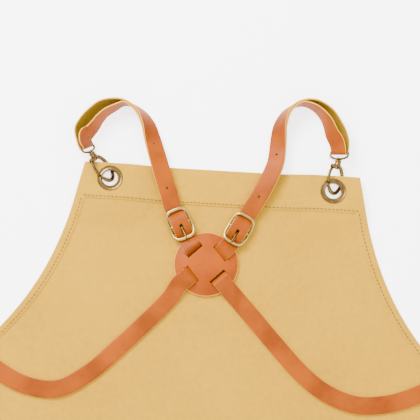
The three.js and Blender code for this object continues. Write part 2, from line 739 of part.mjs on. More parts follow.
addStrap({
  name: "right_shoulder_strap",
  waistHook: "waist_left",
  bibHook: "bib_right",
  buckle: addBuckle("right", 22, -65.9, 63),
  angle: risingAngle,
  level: strapOnCloth + layerPitch,
  waistRun: [
    [-353, -206, 35], [-343, -186, 55], [-318, -176, 60], [-290, -184, 50], [-262, -205, 25],
    [-232, -228, 5], [-195, -246], [-160, -248], [-128, -229], [-103.8, -205.7], [-83, -184],
    [-62, -161], [-47, -143],
  ],
  arch: [
    [39.7, -32.7, 5], [47, -18, 10], [53.3, -3, 14], [57.6, 10.3, 18], [59, 25.4, 24],
    [59.3, 39.6, 34], [60, 52.1, 47], [62.5, 61, 58], [66.5, 69.3, 68], [75, 77.6, 80],
    [85.2, 81.4, 90], [96.6, 81.6, 96], [106.8, 77.2, 104], [116, 69.1, 113], [122.5, 58.3, 122],
    [127.5, 47.5, 132], [129.8, 37, 140],
  ],
  sharedPoints: 11,
  backRun: [
    [123.5, 37, 40, 4], [118, 46.8, 48, 3], [113.5, 57.7, 60, 2], [107.5, 67, 72, 1], [98, 75.5, 82],
  ],
});

addStrap({
  name: "left_shoulder_strap",
  waistHook: "waist_right",
  bibHook: "bib_left",
  buckle: addBuckle("left", -42, -63.8, 117),
  angle: fallingAngle,
  level: strapOnCloth,
  waistRun: [
    [353, -206, -35], [343, -186, -55], [318, -176, -60], [290, -184, -50], [262, -205, -25],
    [228, -228, -5], [190, -243], [155, -246], [122, -235], [97, -217], [74.6, -194.9], [52, -171],
    [35, -153], [24, -141.5],
  ],
  arch: [
    [-56, -33, -3], [-64.3, -10.8, -8], [-69.5, 4, -13], [-74.3, 17.8, -20], [-79, 32, -30],
    [-84, 46, -46], [-92, 58.5, -64], [-101.8, 66.3, -76], [-111.8, 69.8, -87], [-122, 70, -94],
    [-137.5, 64.8, -106], [-147.5, 55, -114], [-155.5, 43.6, -120], [-159, 32, -125],
  ],
  sharedPoints: 9,
  backRun: [
    [-152.5, 24, -53, 3], [-149, 31, -58, 3], [-143, 39.5, -64, 2], [-138.5, 47.5, -71, 1.5],
    [-132, 55.5, -78, 1], [-123, 62, -84],
  ],
});

export default apron;
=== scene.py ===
import math

import bmesh
import bpy
import numpy as np
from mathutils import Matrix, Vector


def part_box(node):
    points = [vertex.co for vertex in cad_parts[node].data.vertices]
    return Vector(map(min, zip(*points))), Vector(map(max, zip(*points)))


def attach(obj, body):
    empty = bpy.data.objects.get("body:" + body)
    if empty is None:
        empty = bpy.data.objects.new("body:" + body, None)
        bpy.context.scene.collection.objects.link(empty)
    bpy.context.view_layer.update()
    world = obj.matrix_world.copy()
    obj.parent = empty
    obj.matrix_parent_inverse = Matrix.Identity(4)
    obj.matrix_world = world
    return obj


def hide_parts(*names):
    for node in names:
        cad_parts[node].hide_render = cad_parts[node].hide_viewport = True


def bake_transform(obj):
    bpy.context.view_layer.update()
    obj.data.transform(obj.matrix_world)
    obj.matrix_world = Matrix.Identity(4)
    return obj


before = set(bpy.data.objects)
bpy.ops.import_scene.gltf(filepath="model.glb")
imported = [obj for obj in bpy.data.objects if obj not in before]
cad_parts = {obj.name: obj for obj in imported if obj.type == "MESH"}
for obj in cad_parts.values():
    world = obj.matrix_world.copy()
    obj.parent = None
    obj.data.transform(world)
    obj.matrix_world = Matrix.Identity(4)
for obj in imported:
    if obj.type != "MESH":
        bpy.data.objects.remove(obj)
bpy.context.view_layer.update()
MM = 0.001


# ---- The camera ----
# It looks down on the bib end from nearly overhead, a little from the waist side.
AZIMUTH, ELEVATION = math.radians(3.47), math.radians(78)
DISTANCE, FIELD = 1.35, 0.458
bib_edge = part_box("canvas_panel")[1].y
target = np.array([-0.0108, bib_edge - 0.0455, 0.004])
toward = np.array([
    math.sin(AZIMUTH) * math.cos(ELEVATION),
    -math.cos(AZIMUTH) * math.cos(ELEVATION),
    math.sin(ELEVATION),
])
lens = bpy.data.cameras.new("camera")
lens.angle = 2 * math.atan(FIELD / 2 / DISTANCE)
camera = bpy.data.objects.new("camera", lens)
camera.location = target + toward * DISTANCE
camera.rotation_euler = (math.pi / 2 - ELEVATION, 0, AZIMUTH)
bpy.context.scene.collection.objects.link(camera)
bpy.context.scene.camera = camera


# ---- The table and the light ----
# A plain white table, a little lit from within, under a big soft lamp at the upper left, and
# a bright room. Its finish and every later one is made by the two classes here.
class Value:
    """A socket's output, with the sums that Math nodes do."""

    def __init__(self, finish, socket):
        self.finish, self.socket = finish, socket

    def math(self, operation, *others):
        """This value and the others through one Math node."""
        return self.finish.node("ShaderNodeMath", {"operation": operation}, [self, *others])

    def __add__(self, other):
        return self.math("ADD", other)

    def __sub__(self, other):
        return self.math("SUBTRACT", other)

    def __mul__(self, other):
        return self.math("MULTIPLY", other)

    def clamp(self):
        """This value held between 0 and 1."""
        return self.finish.node("ShaderNodeClamp", {}, [self])

    def step(self, low, high):
        """0 below low, 1 above high, and smooth between."""
        return self.finish.node(
            "ShaderNodeMapRange", {"interpolation_type": "SMOOTHSTEP"}, [self, low, high, 0.0, 1.0]
        )


class Finish:
    """A material with one Principled shader."""

    def __init__(self, name, **constants):
        self.material = bpy.data.materials.new(name)
        self.material.use_nodes = True
        self.tree = self.material.node_tree
        self.shader = next(n for n in self.tree.nodes if n.type == "BSDF_PRINCIPLED")
        for socket, value in constants.items():
            self.shader.inputs[socket.replace("_", " ")].default_value = value

    def node(self, kind, settings, values, output=0):
        """Makes a node of a type, sets it, and links or fills its sockets."""
        made = self.tree.nodes.new(kind)
        for key, setting in settings.items():
            if key == "stops":
                ramp = made.color_ramp
                while len(ramp.elements) < len(setting):
                    ramp.elements.new(0.5)
                for element, (place, colour) in zip(ramp.elements, setting):
                    element.position, element.color = place, (*colour, 1)
            else:
                setattr(made, key, setting)
        pairs = values.items() if isinstance(values, dict) else enumerate(values)
        for socket, value in pairs:
            if isinstance(value, Value):
                self.tree.links.new(value.socket, made.inputs[socket])
            elif value is not None:
                made.inputs[socket].default_value = value
        return Value(self, made.outputs[output])

    def attribute(self, name):
        """A number kept on the mesh for each vertex."""
        return self.node("ShaderNodeAttribute", {"attribute_name": name}, [], "Fac")

    def place(self):
        """The point in the piece's own coordinates, in metres."""
        return self.node("ShaderNodeTexCoord", {}, [], "Object")

    def axes(self, vector):
        """The x, y and z of a vector."""
        split = self.node("ShaderNodeSeparateXYZ", {}, [vector])
        made = split.socket.node
        return [Value(self, made.outputs[i]) for i in range(3)]

    def noise(self, vector, scale, detail=2.0, rough=0.5):
        """Soft random blotches, so many to a metre."""
        sockets = {"Vector": vector, "Scale": scale, "Detail": detail, "Roughness": rough}
        return self.node("ShaderNodeTexNoise", {}, sockets, "Fac")

    def ramp(self, value, *stops):
        """A colour for each value, between stops of (value, colour)."""
        return self.node("ShaderNodeValToRGB", {"stops": stops}, [value])

    def mix(self, share, first, second):
        """The first colour at 0 and the second at 1."""
        colours = [c if isinstance(c, Value) else (*c, 1) for c in (first, second)]
        return self.node(
            "ShaderNodeMix", {"data_type": "RGBA"}, {0: share, 6: colours[0], 7: colours[1]}, 2
        )

    def bump(self, height, strength, distance):
        """Shades the surface as if it had this relief."""
        sockets = {"Strength": strength, "Distance": distance, "Height": height}
        self.feed("Normal", self.node("ShaderNodeBump", {}, sockets))

    def feed(self, socket, value):
        """Links a value to one of the shader's sockets."""
        self.tree.links.new(value.socket, self.shader.inputs[socket])


def grid_mesh(name, points, closed_u=False, closed_v=False, smooth=True):
    """A quad mesh over points[u, v], wrapped round where it is closed."""
    rows, columns = points.shape[:2]
    index = np.arange(rows * columns).reshape(rows, columns)
    if closed_u:
        index = np.vstack([index, index[:1]])
    if closed_v:
        index = np.hstack([index, index[:, :1]])
    quads = np.stack([index[:-1, :-1], index[1:, :-1], index[1:, 1:], index[:-1, 1:]], -1)
    return mesh_from(name, points.reshape(-1, 3), quads.reshape(-1, 4), smooth)


def mesh_from(name, points, faces, smooth=True):
    """A linked object from points in metres and faces of point numbers."""
    mesh = bpy.data.meshes.new(name)
    mesh.from_pydata(np.asarray(points).tolist(), [], np.asarray(faces).tolist())
    mesh.validate()
    mesh.polygons.foreach_set("use_smooth", np.full(len(mesh.polygons), smooth))
    made = bpy.data.objects.new(name, mesh)
    bpy.context.scene.collection.objects.link(made)
    return made


floor_finish = Finish(
    "table_white", Base_Color=(0.93, 0.93, 0.92, 1), Roughness=0.8, Specular_IOR_Level=0.1,
    Emission_Color=(1, 1, 1, 1), Emission_Strength=2.5,
)
half = 6.0
table_corners = [[[-half, -half, 0], [-half, half, 0]], [[half, -half, 0], [half, half, 0]]]
floor = grid_mesh("table", np.array(table_corners))
floor.data.flip_normals()
floor.location.z = -0.0004
floor.data.materials.append(floor_finish.material)


def soft_lamp(name, place, aim, size, power):
    """A square lamp at a place, turned to face what it is aimed at."""
    lamp = bpy.data.lights.new(name, "AREA")
    lamp.size, lamp.energy = size, power
    stand = bpy.data.objects.new(name, lamp)
    stand.location = place
    direction = np.array(aim) - np.array(place)
    flat = math.hypot(direction[0], direction[1])
    stand.rotation_euler = (
        math.atan2(flat, -direction[2]), 0, math.atan2(direction[1], direction[0]) - math.pi / 2
    )
    bpy.context.scene.collection.objects.link(stand)


soft_lamp("window", (-0.9, 1.3, 1.3), target, 0.9, 90)
soft_lamp("fill", (1.2, -0.3, 1.6), target, 1.6, 19)
room = bpy.data.worlds.new("room")
room.use_nodes = True
room.node_tree.nodes["Background"].inputs["Color"].default_value = (1, 1, 1, 1)
room.node_tree.nodes["Background"].inputs["Strength"].default_value = 2.8
bpy.context.scene.world = room


# ---- Canvas panel ----
# One piece of heavy cotton canvas, wrong side up, with its edges folded over and sewn.
# It narrows from the waist to the bib, and the hooks under it lift its four corners.
PANEL_LENGTH, BIB_WIDTH, WAIST_WIDTH, WAIST_DEPTH = 820, 302, 680, 278
TOP_HEM, SIDE_HEM, BOTTOM_HEM = 41, 12, 25
CLOTH, HEM = 1.2, 2.4
GROMMET_PLACES = {
    "bib_right": (BIB_WIDTH / 2 - 29, -17.5),
    "bib_left": (29 - BIB_WIDTH / 2, -17.5),
    "waist_right": (WAIST_WIDTH / 2 - 28, -286),
    "waist_left": (28 - WAIST_WIDTH / 2, -286),
}
CORNER_LIFT, LIFT_PLATEAU, LIFT_REACH = 7, 24, 62


def smooth_step(value, low, high):
    """0 below low and 1 above high, with an s-shaped cubic between them."""
    share = np.clip((value - low) / (high - low), 0, 1)
    return share * share * (3 - 2 * share)


def half_width(depth):
    """Half the bib, plus a fifth of the depth, plus a flare that grows with its cube."""
    slope = 0.2
    flare = (WAIST_WIDTH - BIB_WIDTH) / 2 - slope * WAIST_DEPTH
    armhole = BIB_WIDTH / 2 + slope * depth + flare * (np.clip(depth, 0, WAIST_DEPTH) / WAIST_DEPTH) ** 3
    return np.where(depth >= WAIST_DEPTH, WAIST_WIDTH / 2, armhole)


def cloth_lift(x, y):
    """A flat-topped bump round each grommet, where the hook's lower arm holds the cloth up."""
    height = np.zeros(np.broadcast(x, y).shape)
    for gx, gy in GROMMET_PLACES.values():
        far = smooth_step(np.hypot(x - gx, y - gy), LIFT_PLATEAU, LIFT_REACH)
        height = np.maximum(height, CORNER_LIFT * (1 - far))
    return height


def waves(x, y, seed, sizes):
    """Sums of sine waves in seeded directions, each size (mm) a little uneven."""
    chance = np.random.default_rng(seed)
    total = np.zeros(np.broadcast(x, y).shape)
    for size in sizes:
        for angle, phase in chance.uniform(0, 2 * math.pi, (3, 2)):
            total += np.sin((x * math.cos(angle) + y * math.sin(angle)) * 2 * math.pi / size + phase)
    return total / (3 * len(sizes))


def cloth_thickness(x, depth):
    """The canvas, and a second fold of it in the hems, with a rounded fold edge."""
    from_side = half_width(depth) - np.abs(x)
    soft = 1.2
    top = 1 - smooth_step(depth, TOP_HEM - soft, TOP_HEM + 0.3)
    side = 1 - smooth_step(from_side, SIDE_HEM - soft, SIDE_HEM + 0.3)
    bottom = smooth_step(depth, PANEL_LENGTH - BOTTOM_HEM - 0.3, PANEL_LENGTH - BOTTOM_HEM + soft)
    patch = np.zeros(np.broadcast(x, depth).shape)
    for gx, gy in GROMMET_PLACES.values():
        patch = np.maximum(patch, 1 - smooth_step(np.hypot(x - gx, -depth - gy), 15, 20))
    fold = np.maximum(np.maximum(top, side), np.maximum(bottom, patch * 0.9))
    return CLOTH + (HEM - CLOTH) * fold


def spaced(low, high, step):
    """Even values from low to high, at most a step apart."""
    return np.linspace(low, high, max(2, int(math.ceil((high - low) / step)) + 1))


near_edge = np.array([0, 0.35, 0.9, 2, 4, 6, 8, 9.6, 10.8, 11.3, 11.8, 12.4, 13.5, 16])
depths = np.unique(np.concatenate([
    [0, 0.4, 1.0, 2.0], spaced(4, 38, 3.4), [39, 39.9, 40.4, 40.9, 41.4], spaced(43, 110, 3.6),
    spaced(114, 225, 5), spaced(229, 330, 3.8), spaced(336, 792, 7.5),
    [794.2, 794.8, 795.4, 796.2], spaced(798, 818, 4), [819, 819.6, 820],
]))
shares = np.linspace(-1, 1, 122)[1:-1]
edge = half_width(depths)[:, None]
columns = np.hstack([-(edge - near_edge), (edge - 18) * shares, (edge - near_edge)[:, ::-1]])
rows = np.repeat(-depths[:, None], columns.shape[1], 1)
under = cloth_lift(columns, rows)
thick = cloth_thickness(columns, -rows)
rim = np.minimum(half_width(-rows) - np.abs(columns), np.minimum(-rows, PANEL_LENGTH + rows))
rounding = np.sqrt(np.clip(1 - (1 - np.clip(rim / 1.0, 0, 1)) ** 2, 0, 1))
ripple = waves(columns, rows, 5, (150, 90, 47)) * smooth_step(rim, 0, 60) * 0.45
hem_pucker = np.sin(rows * 2 * math.pi / 8.6) * np.exp(-((rim - 9.5) / 4) ** 2) * 0.09
upper = under + thick * (0.5 + 0.5 * rounding) + (ripple + hem_pucker) * rounding
lower = under + thick * (0.5 - 0.5 * rounding)
top_points = np.stack([columns, rows + bib_edge / MM, upper], -1) * MM
low_points = np.stack([columns, rows + bib_edge / MM, lower], -1) * MM


def closed_slab(name, top, low):
    """Two grids over the same places, joined round their rims."""
    rows, columns = top.shape[:2]
    count = rows * columns
    index = np.arange(count).reshape(rows, columns)
    over = np.stack([index[:-1, :-1], index[1:, :-1], index[1:, 1:], index[:-1, 1:]], -1).reshape(-1, 4)
    below = over[:, ::-1] + count
    loop = np.concatenate([index[0, :], index[1:, -1], index[-1, -2::-1], index[-2:0:-1, 0]])
    after = np.roll(loop, -1)
    wall = np.stack([loop, after, after + count, loop + count], -1)
    points = np.concatenate([top.reshape(-1, 3), low.reshape(-1, 3)])
    return mesh_from(name, points, np.concatenate([over, below, wall]))


def recalculate(piece, merge=0.0):
    """Points the faces outwards, after joining the points that lie within the merge distance."""
    work = bmesh.new()
    work.from_mesh(piece.data)
    if merge:
        bmesh.ops.remove_doubles(work, verts=work.verts, dist=merge)
    bmesh.ops.recalc_face_normals(work, faces=work.faces)
    work.to_mesh(piece.data)
    work.free()


def cut_away(piece, cutters):
    """Takes the cutters' shapes out of the piece, and removes them."""
    for cutter in cutters:
        recalculate(cutter)
        cut = piece.modifiers.new("cut", "BOOLEAN")
        cut.operation, cut.solver, cut.object = "DIFFERENCE", "EXACT", cutter
        bpy.context.view_layer.objects.active = piece
        bpy.ops.object.modifier_apply(modifier=cut.name)
        bpy.data.objects.remove(cutter)


def revolve(name, profile, sides=64, x=0.0, y=0.0):
    """A closed profile of (radius, height) carried round an upright axis."""
    turn = np.linspace(0, 2 * math.pi, sides, endpoint=False)[:, None]
    radius, height = np.array(profile).T
    points = np.stack([
        x + radius * np.cos(turn), y + radius * np.sin(turn), height + 0 * turn
    ], -1)
    return grid_mesh(name, points * MM, closed_u=True, closed_v=True)


panel = closed_slab("canvas_body", top_points, low_points)
recalculate(panel)
bores = [
    revolve("bore", [(0.01, -2), (9.5, -2), (9.5, 14), (0.01, 14)], 48, x, y + bib_edge / MM)
    for x, y in GROMMET_PLACES.values()
]
cut_away(panel, bores)

canvas = Finish("cotton_canvas", Roughness=0.9, Specular_IOR_Level=0.08)
where = canvas.place()
cx, cy, _ = canvas.axes(where)
thread_pitch = 0.00085
warp = (cx * (2 * math.pi / thread_pitch)).math("SINE")
weft = (cy * (2 * math.pi / thread_pitch)).math("SINE")
weave = warp * weft
slub = canvas.noise(where, 180.0, 4.0, 0.6)
patchy = canvas.noise(where, 9.0, 3.0, 0.55)
speck = canvas.noise(where, 900.0, 2.0, 0.5)
tone = canvas.ramp(
    (patchy * 0.45 + slub * 0.4 + speck * 0.15 + weave * 0.03).clamp(),
    (0.3, (0.36, 0.185, 0.006)), (0.5, (0.45, 0.232, 0.006)), (0.7, (0.52, 0.265, 0.007)),
)
canvas.feed("Base Color", tone)
canvas.bump(weave * 0.5 + slub * 1.2 + speck * 0.5 + patchy * 18.0, 0.7, 0.00025)
panel.data.materials.clear()
panel.data.materials.append(canvas.material)
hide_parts("canvas_panel")
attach(panel, "apron")


# ---- Rows of stitches ----
# Thick cotton thread that holds the hems down. Each stitch is a short fat grain lying on
# the cloth, and each row stands for one thread.
STITCH_PITCH, STITCH_LENGTH, STITCH_WIDTH, STITCH_HEIGHT = 4.3, 3.2, 1.05, 0.6
STITCH_INSET = 8


def surface_height(x, y):
    """The top of the hemmed cloth, without its fine ripples."""
    return cloth_lift(x, y) + HEM


def stitch_row(name, line):
    """Points evenly along a line of (x, y), with an ellipsoid on each, turned to its heading."""
    steps = np.hypot(*np.diff(line, axis=0).T)
    run = np.concatenate([[0], np.cumsum(steps)])
    middles = np.arange(STITCH_PITCH / 2, run[-1], STITCH_PITCH)
    x, y = np.interp(middles, run, line[:, 0]), np.interp(middles, run, line[:, 1])
    heading = np.arctan2(np.gradient(y), np.gradient(x))[:, None, None]
    turn = np.linspace(0, 2 * math.pi, 8, endpoint=False)[None, :, None]
    rise = np.linspace(-math.pi / 2, math.pi / 2, 6)[None, None, :]
    long = STITCH_LENGTH / 2 * np.sin(rise) + 0 * turn
    wide = STITCH_WIDTH / 2 * np.cos(rise) * np.cos(turn)
    high = STITCH_HEIGHT / 2 * np.cos(rise) * np.sin(turn)
    px = x[:, None, None] + long * np.cos(heading) - wide * np.sin(heading)
    py = y[:, None, None] + long * np.sin(heading) + wide * np.cos(heading)
    lift = surface_height(x, y)[:, None, None] + 0.15
    pz = lift + high + 0.18 * np.cos(rise)
    points = np.stack([px, py + bib_edge / MM, pz + 0 * px], -1) * MM
    count, around, up = points.shape[:3]
    index = np.arange(around * up).reshape(around, up)
    index = np.vstack([index, index[:1]])
    quads = np.stack([index[:-1, :-1], index[1:, :-1], index[1:, 1:], index[:-1, 1:]], -1).reshape(-1, 4)
    faces = (quads[None] + (np.arange(count) * around * up)[:, None, None]).reshape(-1, 4)
    row = mesh_from(name, points.reshape(-1, 3), faces)
    recalculate(row, 1e-6)
    return row


cotton = Finish("brown_thread_with_painted_shade", Roughness=0.7)
thread_place = cotton.place()
thread_x, thread_y, _ = cotton.axes(thread_place)
twist = ((thread_x + thread_y) * 9000.0).math("SINE")
strand = cotton.noise(thread_place, 700.0, 2.0)
# The thread's dark brown is partly its own colour and partly painted shade, for the shadows between and
# beside the stitches.
cotton.feed("Base Color", cotton.ramp(strand, (0.3, (0.045, 0.022, 0.004)), (0.7, (0.11, 0.055, 0.01))))
cotton.bump(twist, 0.4, 0.0001)
top_depth, bottom_depth = TOP_HEM - 3, PANEL_LENGTH - BOTTOM_HEM + 4
top_run = float(half_width(top_depth)) - STITCH_INSET - 1
bottom_run = WAIST_WIDTH / 2 - STITCH_INSET - 1
arm_depths = np.linspace(top_depth + 2, WAIST_DEPTH - 2, 80)
thread_lines = {
    "top_hem_thread": np.array([[-top_run, -top_depth], [top_run, -top_depth]]),
    "bottom_hem_thread": np.array([[-bottom_run, -bottom_depth], [bottom_run, -bottom_depth]]),
}
for side, sign in (("left", -1), ("right", 1)):
    armhole = np.stack([sign * (half_width(arm_depths) - STITCH_INSET), -arm_depths], -1)
    edge_x = sign * (WAIST_WIDTH / 2 - STITCH_INSET)
    side_run = np.array([[edge_x, -WAIST_DEPTH - 1], [edge_x, -bottom_depth]])
    thread_lines[f"{side}_armhole_thread"] = armhole
    thread_lines[f"{side}_side_thread"] = side_run
for node, line in thread_lines.items():
    row = stitch_row(node + "_stitches", line)
    row.data.materials.append(cotton.material)
    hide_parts(node)
    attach(row, "apron")


# ---- Grommets ----
# Spun antique-brass eyelets, each set through the cloth over a washer, with a rolled flange.
def antique(name, light, dark, rough):
    """Plated metal, dark in its tarnish and paler where it is rubbed."""
    finish = Finish(name, Metallic=1.0)
    spot = finish.place()
    tarnish = finish.noise(spot, 260.0, 4.0, 0.65)
    rubbed = finish.noise(spot, 1400.0, 2.0, 0.5)
    share = (tarnish * 0.7 + rubbed * 0.3).step(0.30, 0.70)
    finish.feed("Base Color", finish.mix(share, light, dark))
    finish.feed("Roughness", share * 0.12 + rough)
    finish.bump(tarnish * 0.6 + rubbed * 0.4, 0.12, 0.0002)
    return finish


def finished(piece, finish, slot_name, body, *nodes):
    """Gives a piece its finish, and says which body and CAD nodes it goes with."""
    piece.data.materials.clear()
    piece.data.materials.append(finish.material)
    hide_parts(*nodes)
    if body:
        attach(piece, body)


brass = antique("antique_brass", (0.17, 0.10, 0.03), (0.06, 0.035, 0.012), 0.2)
wire = Finish("spring_steel", Base_Color=(0.5, 0.48, 0.43, 1), Metallic=1.0)
wire.feed("Roughness", wire.noise(wire.place(), 900.0, 2.0) * 0.2 + 0.25)
BORE, FLANGE = 8.5, 14.0


def arc(centre, radius, start, end, count):
    """Points on an arc, angles in degrees, as (radius, height)."""
    angle = np.radians(np.linspace(start, end, count))
    return [(centre[0] + radius * math.cos(a), centre[1] + radius * math.sin(a)) for a in angle]


for name, (gx, gy) in GROMMET_PLACES.items():
    over, below = CORNER_LIFT + HEM + 0.25, CORNER_LIFT - 0.3
    crown = [
        (BORE + 0.75, below - 0.8), (BORE + 0.75, over), (FLANGE - 0.1, over), (FLANGE, over + 0.12),
        *arc((FLANGE - 0.6, over + 0.2), 0.55, 0, 110, 7), (FLANGE - 1.5, over + 0.3),
        (FLANGE - 3.0, over + 0.25),
        *arc((BORE + 1.0, over - 0.2), 1.0, 78, 180, 7), (BORE, below - 0.8),
    ]
    eyelet = revolve(name + "_eyelet_brass", crown, 72, gx, gy + bib_edge / MM)
    recalculate(eyelet, 1e-7)
    finished(eyelet, brass, "brass", "apron", name + "_eyelet")
    rim_profile = [
        (BORE + 1.1, below - 0.75), (FLANGE - 0.4, below - 0.8), (FLANGE, below - 0.4),
        (FLANGE - 0.1, below - 0.02), (BORE + 1.1, below - 0.02),
    ]
    washer = revolve(name + "_washer_brass", rim_profile, 72, gx, gy + bib_edge / MM)
    recalculate(washer, 1e-7)
    finished(washer, brass, "brass", "apron", name + "_washer")


# ---- Swivel hooks ----
# Cast trigger hooks: an oval claw with a sprung gate on one side, and a D-shaped eye that
# turns on a peened shank in the claw's neck.
RING_A, RING_B = 15.75, 9.75
ARM_WIDTH, ARM_THICK = 4.5, 3.5
CLAW_TILT, PIN_ANGLE = 38, 148
NECK_BOTTOM, NECK_TOP = 13.0, 21.0
EYE_BASE, EYE_BAR, EYE_WIRE = 21.3, 31.3, 2.5
EYE_INSIDE = 10.0
HOOKS = {
    "bib_right": (83, -37, 9.4),
    "bib_left": (130, 50, 11.5),
    "waist_right": (58, 0, 8.5),
    "waist_left": (122, 0, 8.5),
}


def turned(axis, degrees):
    """The matrix that turns about x (0), y (1) or z (2)."""
    c, s = math.cos(math.radians(degrees)), math.sin(math.radians(degrees))
    matrix = np.eye(3)
    first, second = [(1, 2), (2, 0), (0, 1)][axis]
    matrix[first, first] = matrix[second, second] = c
    matrix[first, second], matrix[second, first] = -s, s
    return matrix


def hook_frame(name, turn):
    """The origin and turn of a hook's ring, turned about its shank by turn degrees."""
    aim, _, eye_height = HOOKS[name]
    gx, gy = GROMMET_PLACES[name]
    reach = RING_A - 2
    origin = np.array([
        gx + math.cos(math.radians(aim)) * reach, gy + math.sin(math.radians(aim)) * reach, 8.5
    ])
    pitch = math.degrees(math.asin((eye_height - 8.5) / EYE_BAR))
    return origin, turned(2, aim - 90) @ turned(0, pitch) @ turned(1, turn)


def placed(points, stand):
    """Points in millimetres on a stand (origin, turn), carried into the apron's frame in metres."""
    origin, matrix = stand
    return (points @ matrix.T + origin + [0, bib_edge / MM, 0]) * MM


def sweep(path, across, section, closed=False):
    """A section of (across, normal) offsets carried along a path, as points[u, v]."""
    path, section = np.asarray(path, float), np.asarray(section, float)
    if closed:
        forward = np.roll(path, -1, 0) - np.roll(path, 1, 0)
    else:
        forward = np.gradient(path, axis=0)
    forward /= np.linalg.norm(forward, axis=1, keepdims=True)
    across = np.broadcast_to(across, path.shape).astype(float)
    across = across - (across * forward).sum(1, keepdims=True) * forward
    across /= np.linalg.norm(across, axis=1, keepdims=True)
    normal = np.cross(across, forward)
    if section.ndim == 2:
        section = np.broadcast_to(section, (len(path), *section.shape))
    return path[:, None] + section[..., :1] * across[:, None] + section[..., 1:] * normal[:, None]


def ellipse(wide, thick, count=18, power=2.0):
    """Offsets round an ellipse, or a softened rectangle at a higher power."""
    turn = np.linspace(0, 2 * math.pi, count, endpoint=False)
    c, s = np.cos(turn), np.sin(turn)
    return np.stack([
        wide / 2 * np.sign(c) * np.abs(c) ** (2 / power), thick / 2 * np.sign(s) * np.abs(s) ** (2 / power)
    ], -1)


def capped(name, points):
    """A tube's mesh from points[u, v], with a fan on each end."""
    stations, around = points.shape[:2]
    index = np.arange(stations * around).reshape(stations, around)
    index = np.hstack([index, index[:, :1]])
    quads = np.stack([index[:-1, :-1], index[1:, :-1], index[1:, 1:], index[:-1, 1:]], -1).reshape(-1, 4)
    faces = quads.tolist() + [index[0, :-1].tolist(), index[-1, :-1][::-1].tolist()]
    mesh = bpy.data.meshes.new(name)
    mesh.from_pydata(points.reshape(-1, 3).tolist(), [], faces)
    mesh.polygons.foreach_set("use_smooth", np.full(len(mesh.polygons), True))
    made = bpy.data.objects.new(name, mesh)
    bpy.context.scene.collection.objects.link(made)
    recalculate(made)
    return made


def together(name, pieces):
    """Several closed shells made one piece."""
    for piece in bpy.context.selected_objects:
        piece.select_set(False)
    for piece in pieces:
        recalculate(piece)
        piece.select_set(True)
    bpy.context.view_layer.objects.active = pieces[0]
    bpy.ops.object.join()
    pieces[0].name = name
    return pieces[0]


def tapered(section, scales):
    """The section at each station, scaled."""
    return np.asarray(section)[None] * np.asarray(scales)[:, None, None]


def on_ring(degrees):
    """A point on the claw's oval: 0 at its bottom, 90 on the gate's side, 180 at its neck."""
    angle = np.radians(degrees)
    return np.stack([-RING_B * np.sin(angle), -RING_A * np.cos(angle), 0 * angle], -1)


def spun(profile, sides=36):
    """A profile of (radius, y) carried round the hook's own y axis, as points[u, v]."""
    turn = np.linspace(0, 2 * math.pi, sides, endpoint=False)[:, None]
    radius, height = np.array(profile).T
    return np.stack([radius * np.cos(turn), height + 0 * turn, radius * np.sin(turn)], -1)


def peg(radius, low, high, x, y, sides=28):
    """A short upright peg with softened ends, as points[u, v]."""
    soft = 0.25
    profile = np.array([
        (0.01, low), (radius - soft, low), (radius, low + soft), (radius, high - soft),
        (radius - soft, high), (0.01, high),
    ])
    turn = np.linspace(0, 2 * math.pi, sides, endpoint=False)[:, None]
    return np.stack([
        x + profile[:, 0] * np.cos(turn), y + profile[:, 0] * np.sin(turn), profile[:, 1] + 0 * turn
    ], -1)


UP = np.array([0.0, 0.0, 1.0])
pin_x, pin_y = on_ring(np.array([PIN_ANGLE]))[0][:2]
claw_turn = np.linspace(-178, 60, 64)
tip_taper = 1 - 0.35 * smooth_step(claw_turn, 30, 60) ** 2
claw_section = tapered(ellipse(ARM_THICK, ARM_WIDTH, 20, 2.4), tip_taper)
claw_arm = sweep(on_ring(claw_turn), UP, claw_section)
neck_profile = [
    (0.01, NECK_BOTTOM), (2.9, NECK_BOTTOM), (3.7, NECK_BOTTOM + 0.9), (3.9, NECK_BOTTOM + 2.6),
    (3.4, NECK_BOTTOM + 4.4), (3.3, NECK_TOP - 2.2), (3.9, NECK_TOP - 1.3), (3.8, NECK_TOP - 0.3),
    (3.4, NECK_TOP), (0.01, NECK_TOP),
]
gate_turn = np.linspace(71, 126, 30)
gate_taper = 1 - 0.2 * smooth_step(gate_turn, 90, 71)
gate_section = tapered(ellipse(ARM_THICK - 0.9, ARM_WIDTH - 0.9, 18, 2.4), gate_taper)
inside, outside = EYE_INSIDE + EYE_WIRE / 2, EYE_BASE + 1.6


def eye_path():
    """A D: a straight bar, two rounded shoulders, straight sides and a bowl at the shank."""
    soft = 1.6
    right = [(0, EYE_BAR), (inside - soft - 1, EYE_BAR)]
    right += [(inside - soft + soft * math.sin(a), EYE_BAR - soft + soft * math.cos(a))
              for a in np.radians(np.linspace(0, 90, 8))]
    bowl = np.radians(np.linspace(0, 90, 16))
    drop = EYE_BAR - 4.2
    right += [(inside * math.cos(a), drop - (drop - outside) * math.sin(a)) for a in bowl]
    left = [(-x, y) for x, y in right[-2:0:-1]]
    points = np.array(right + left)
    return np.column_stack([points, np.zeros(len(points))])


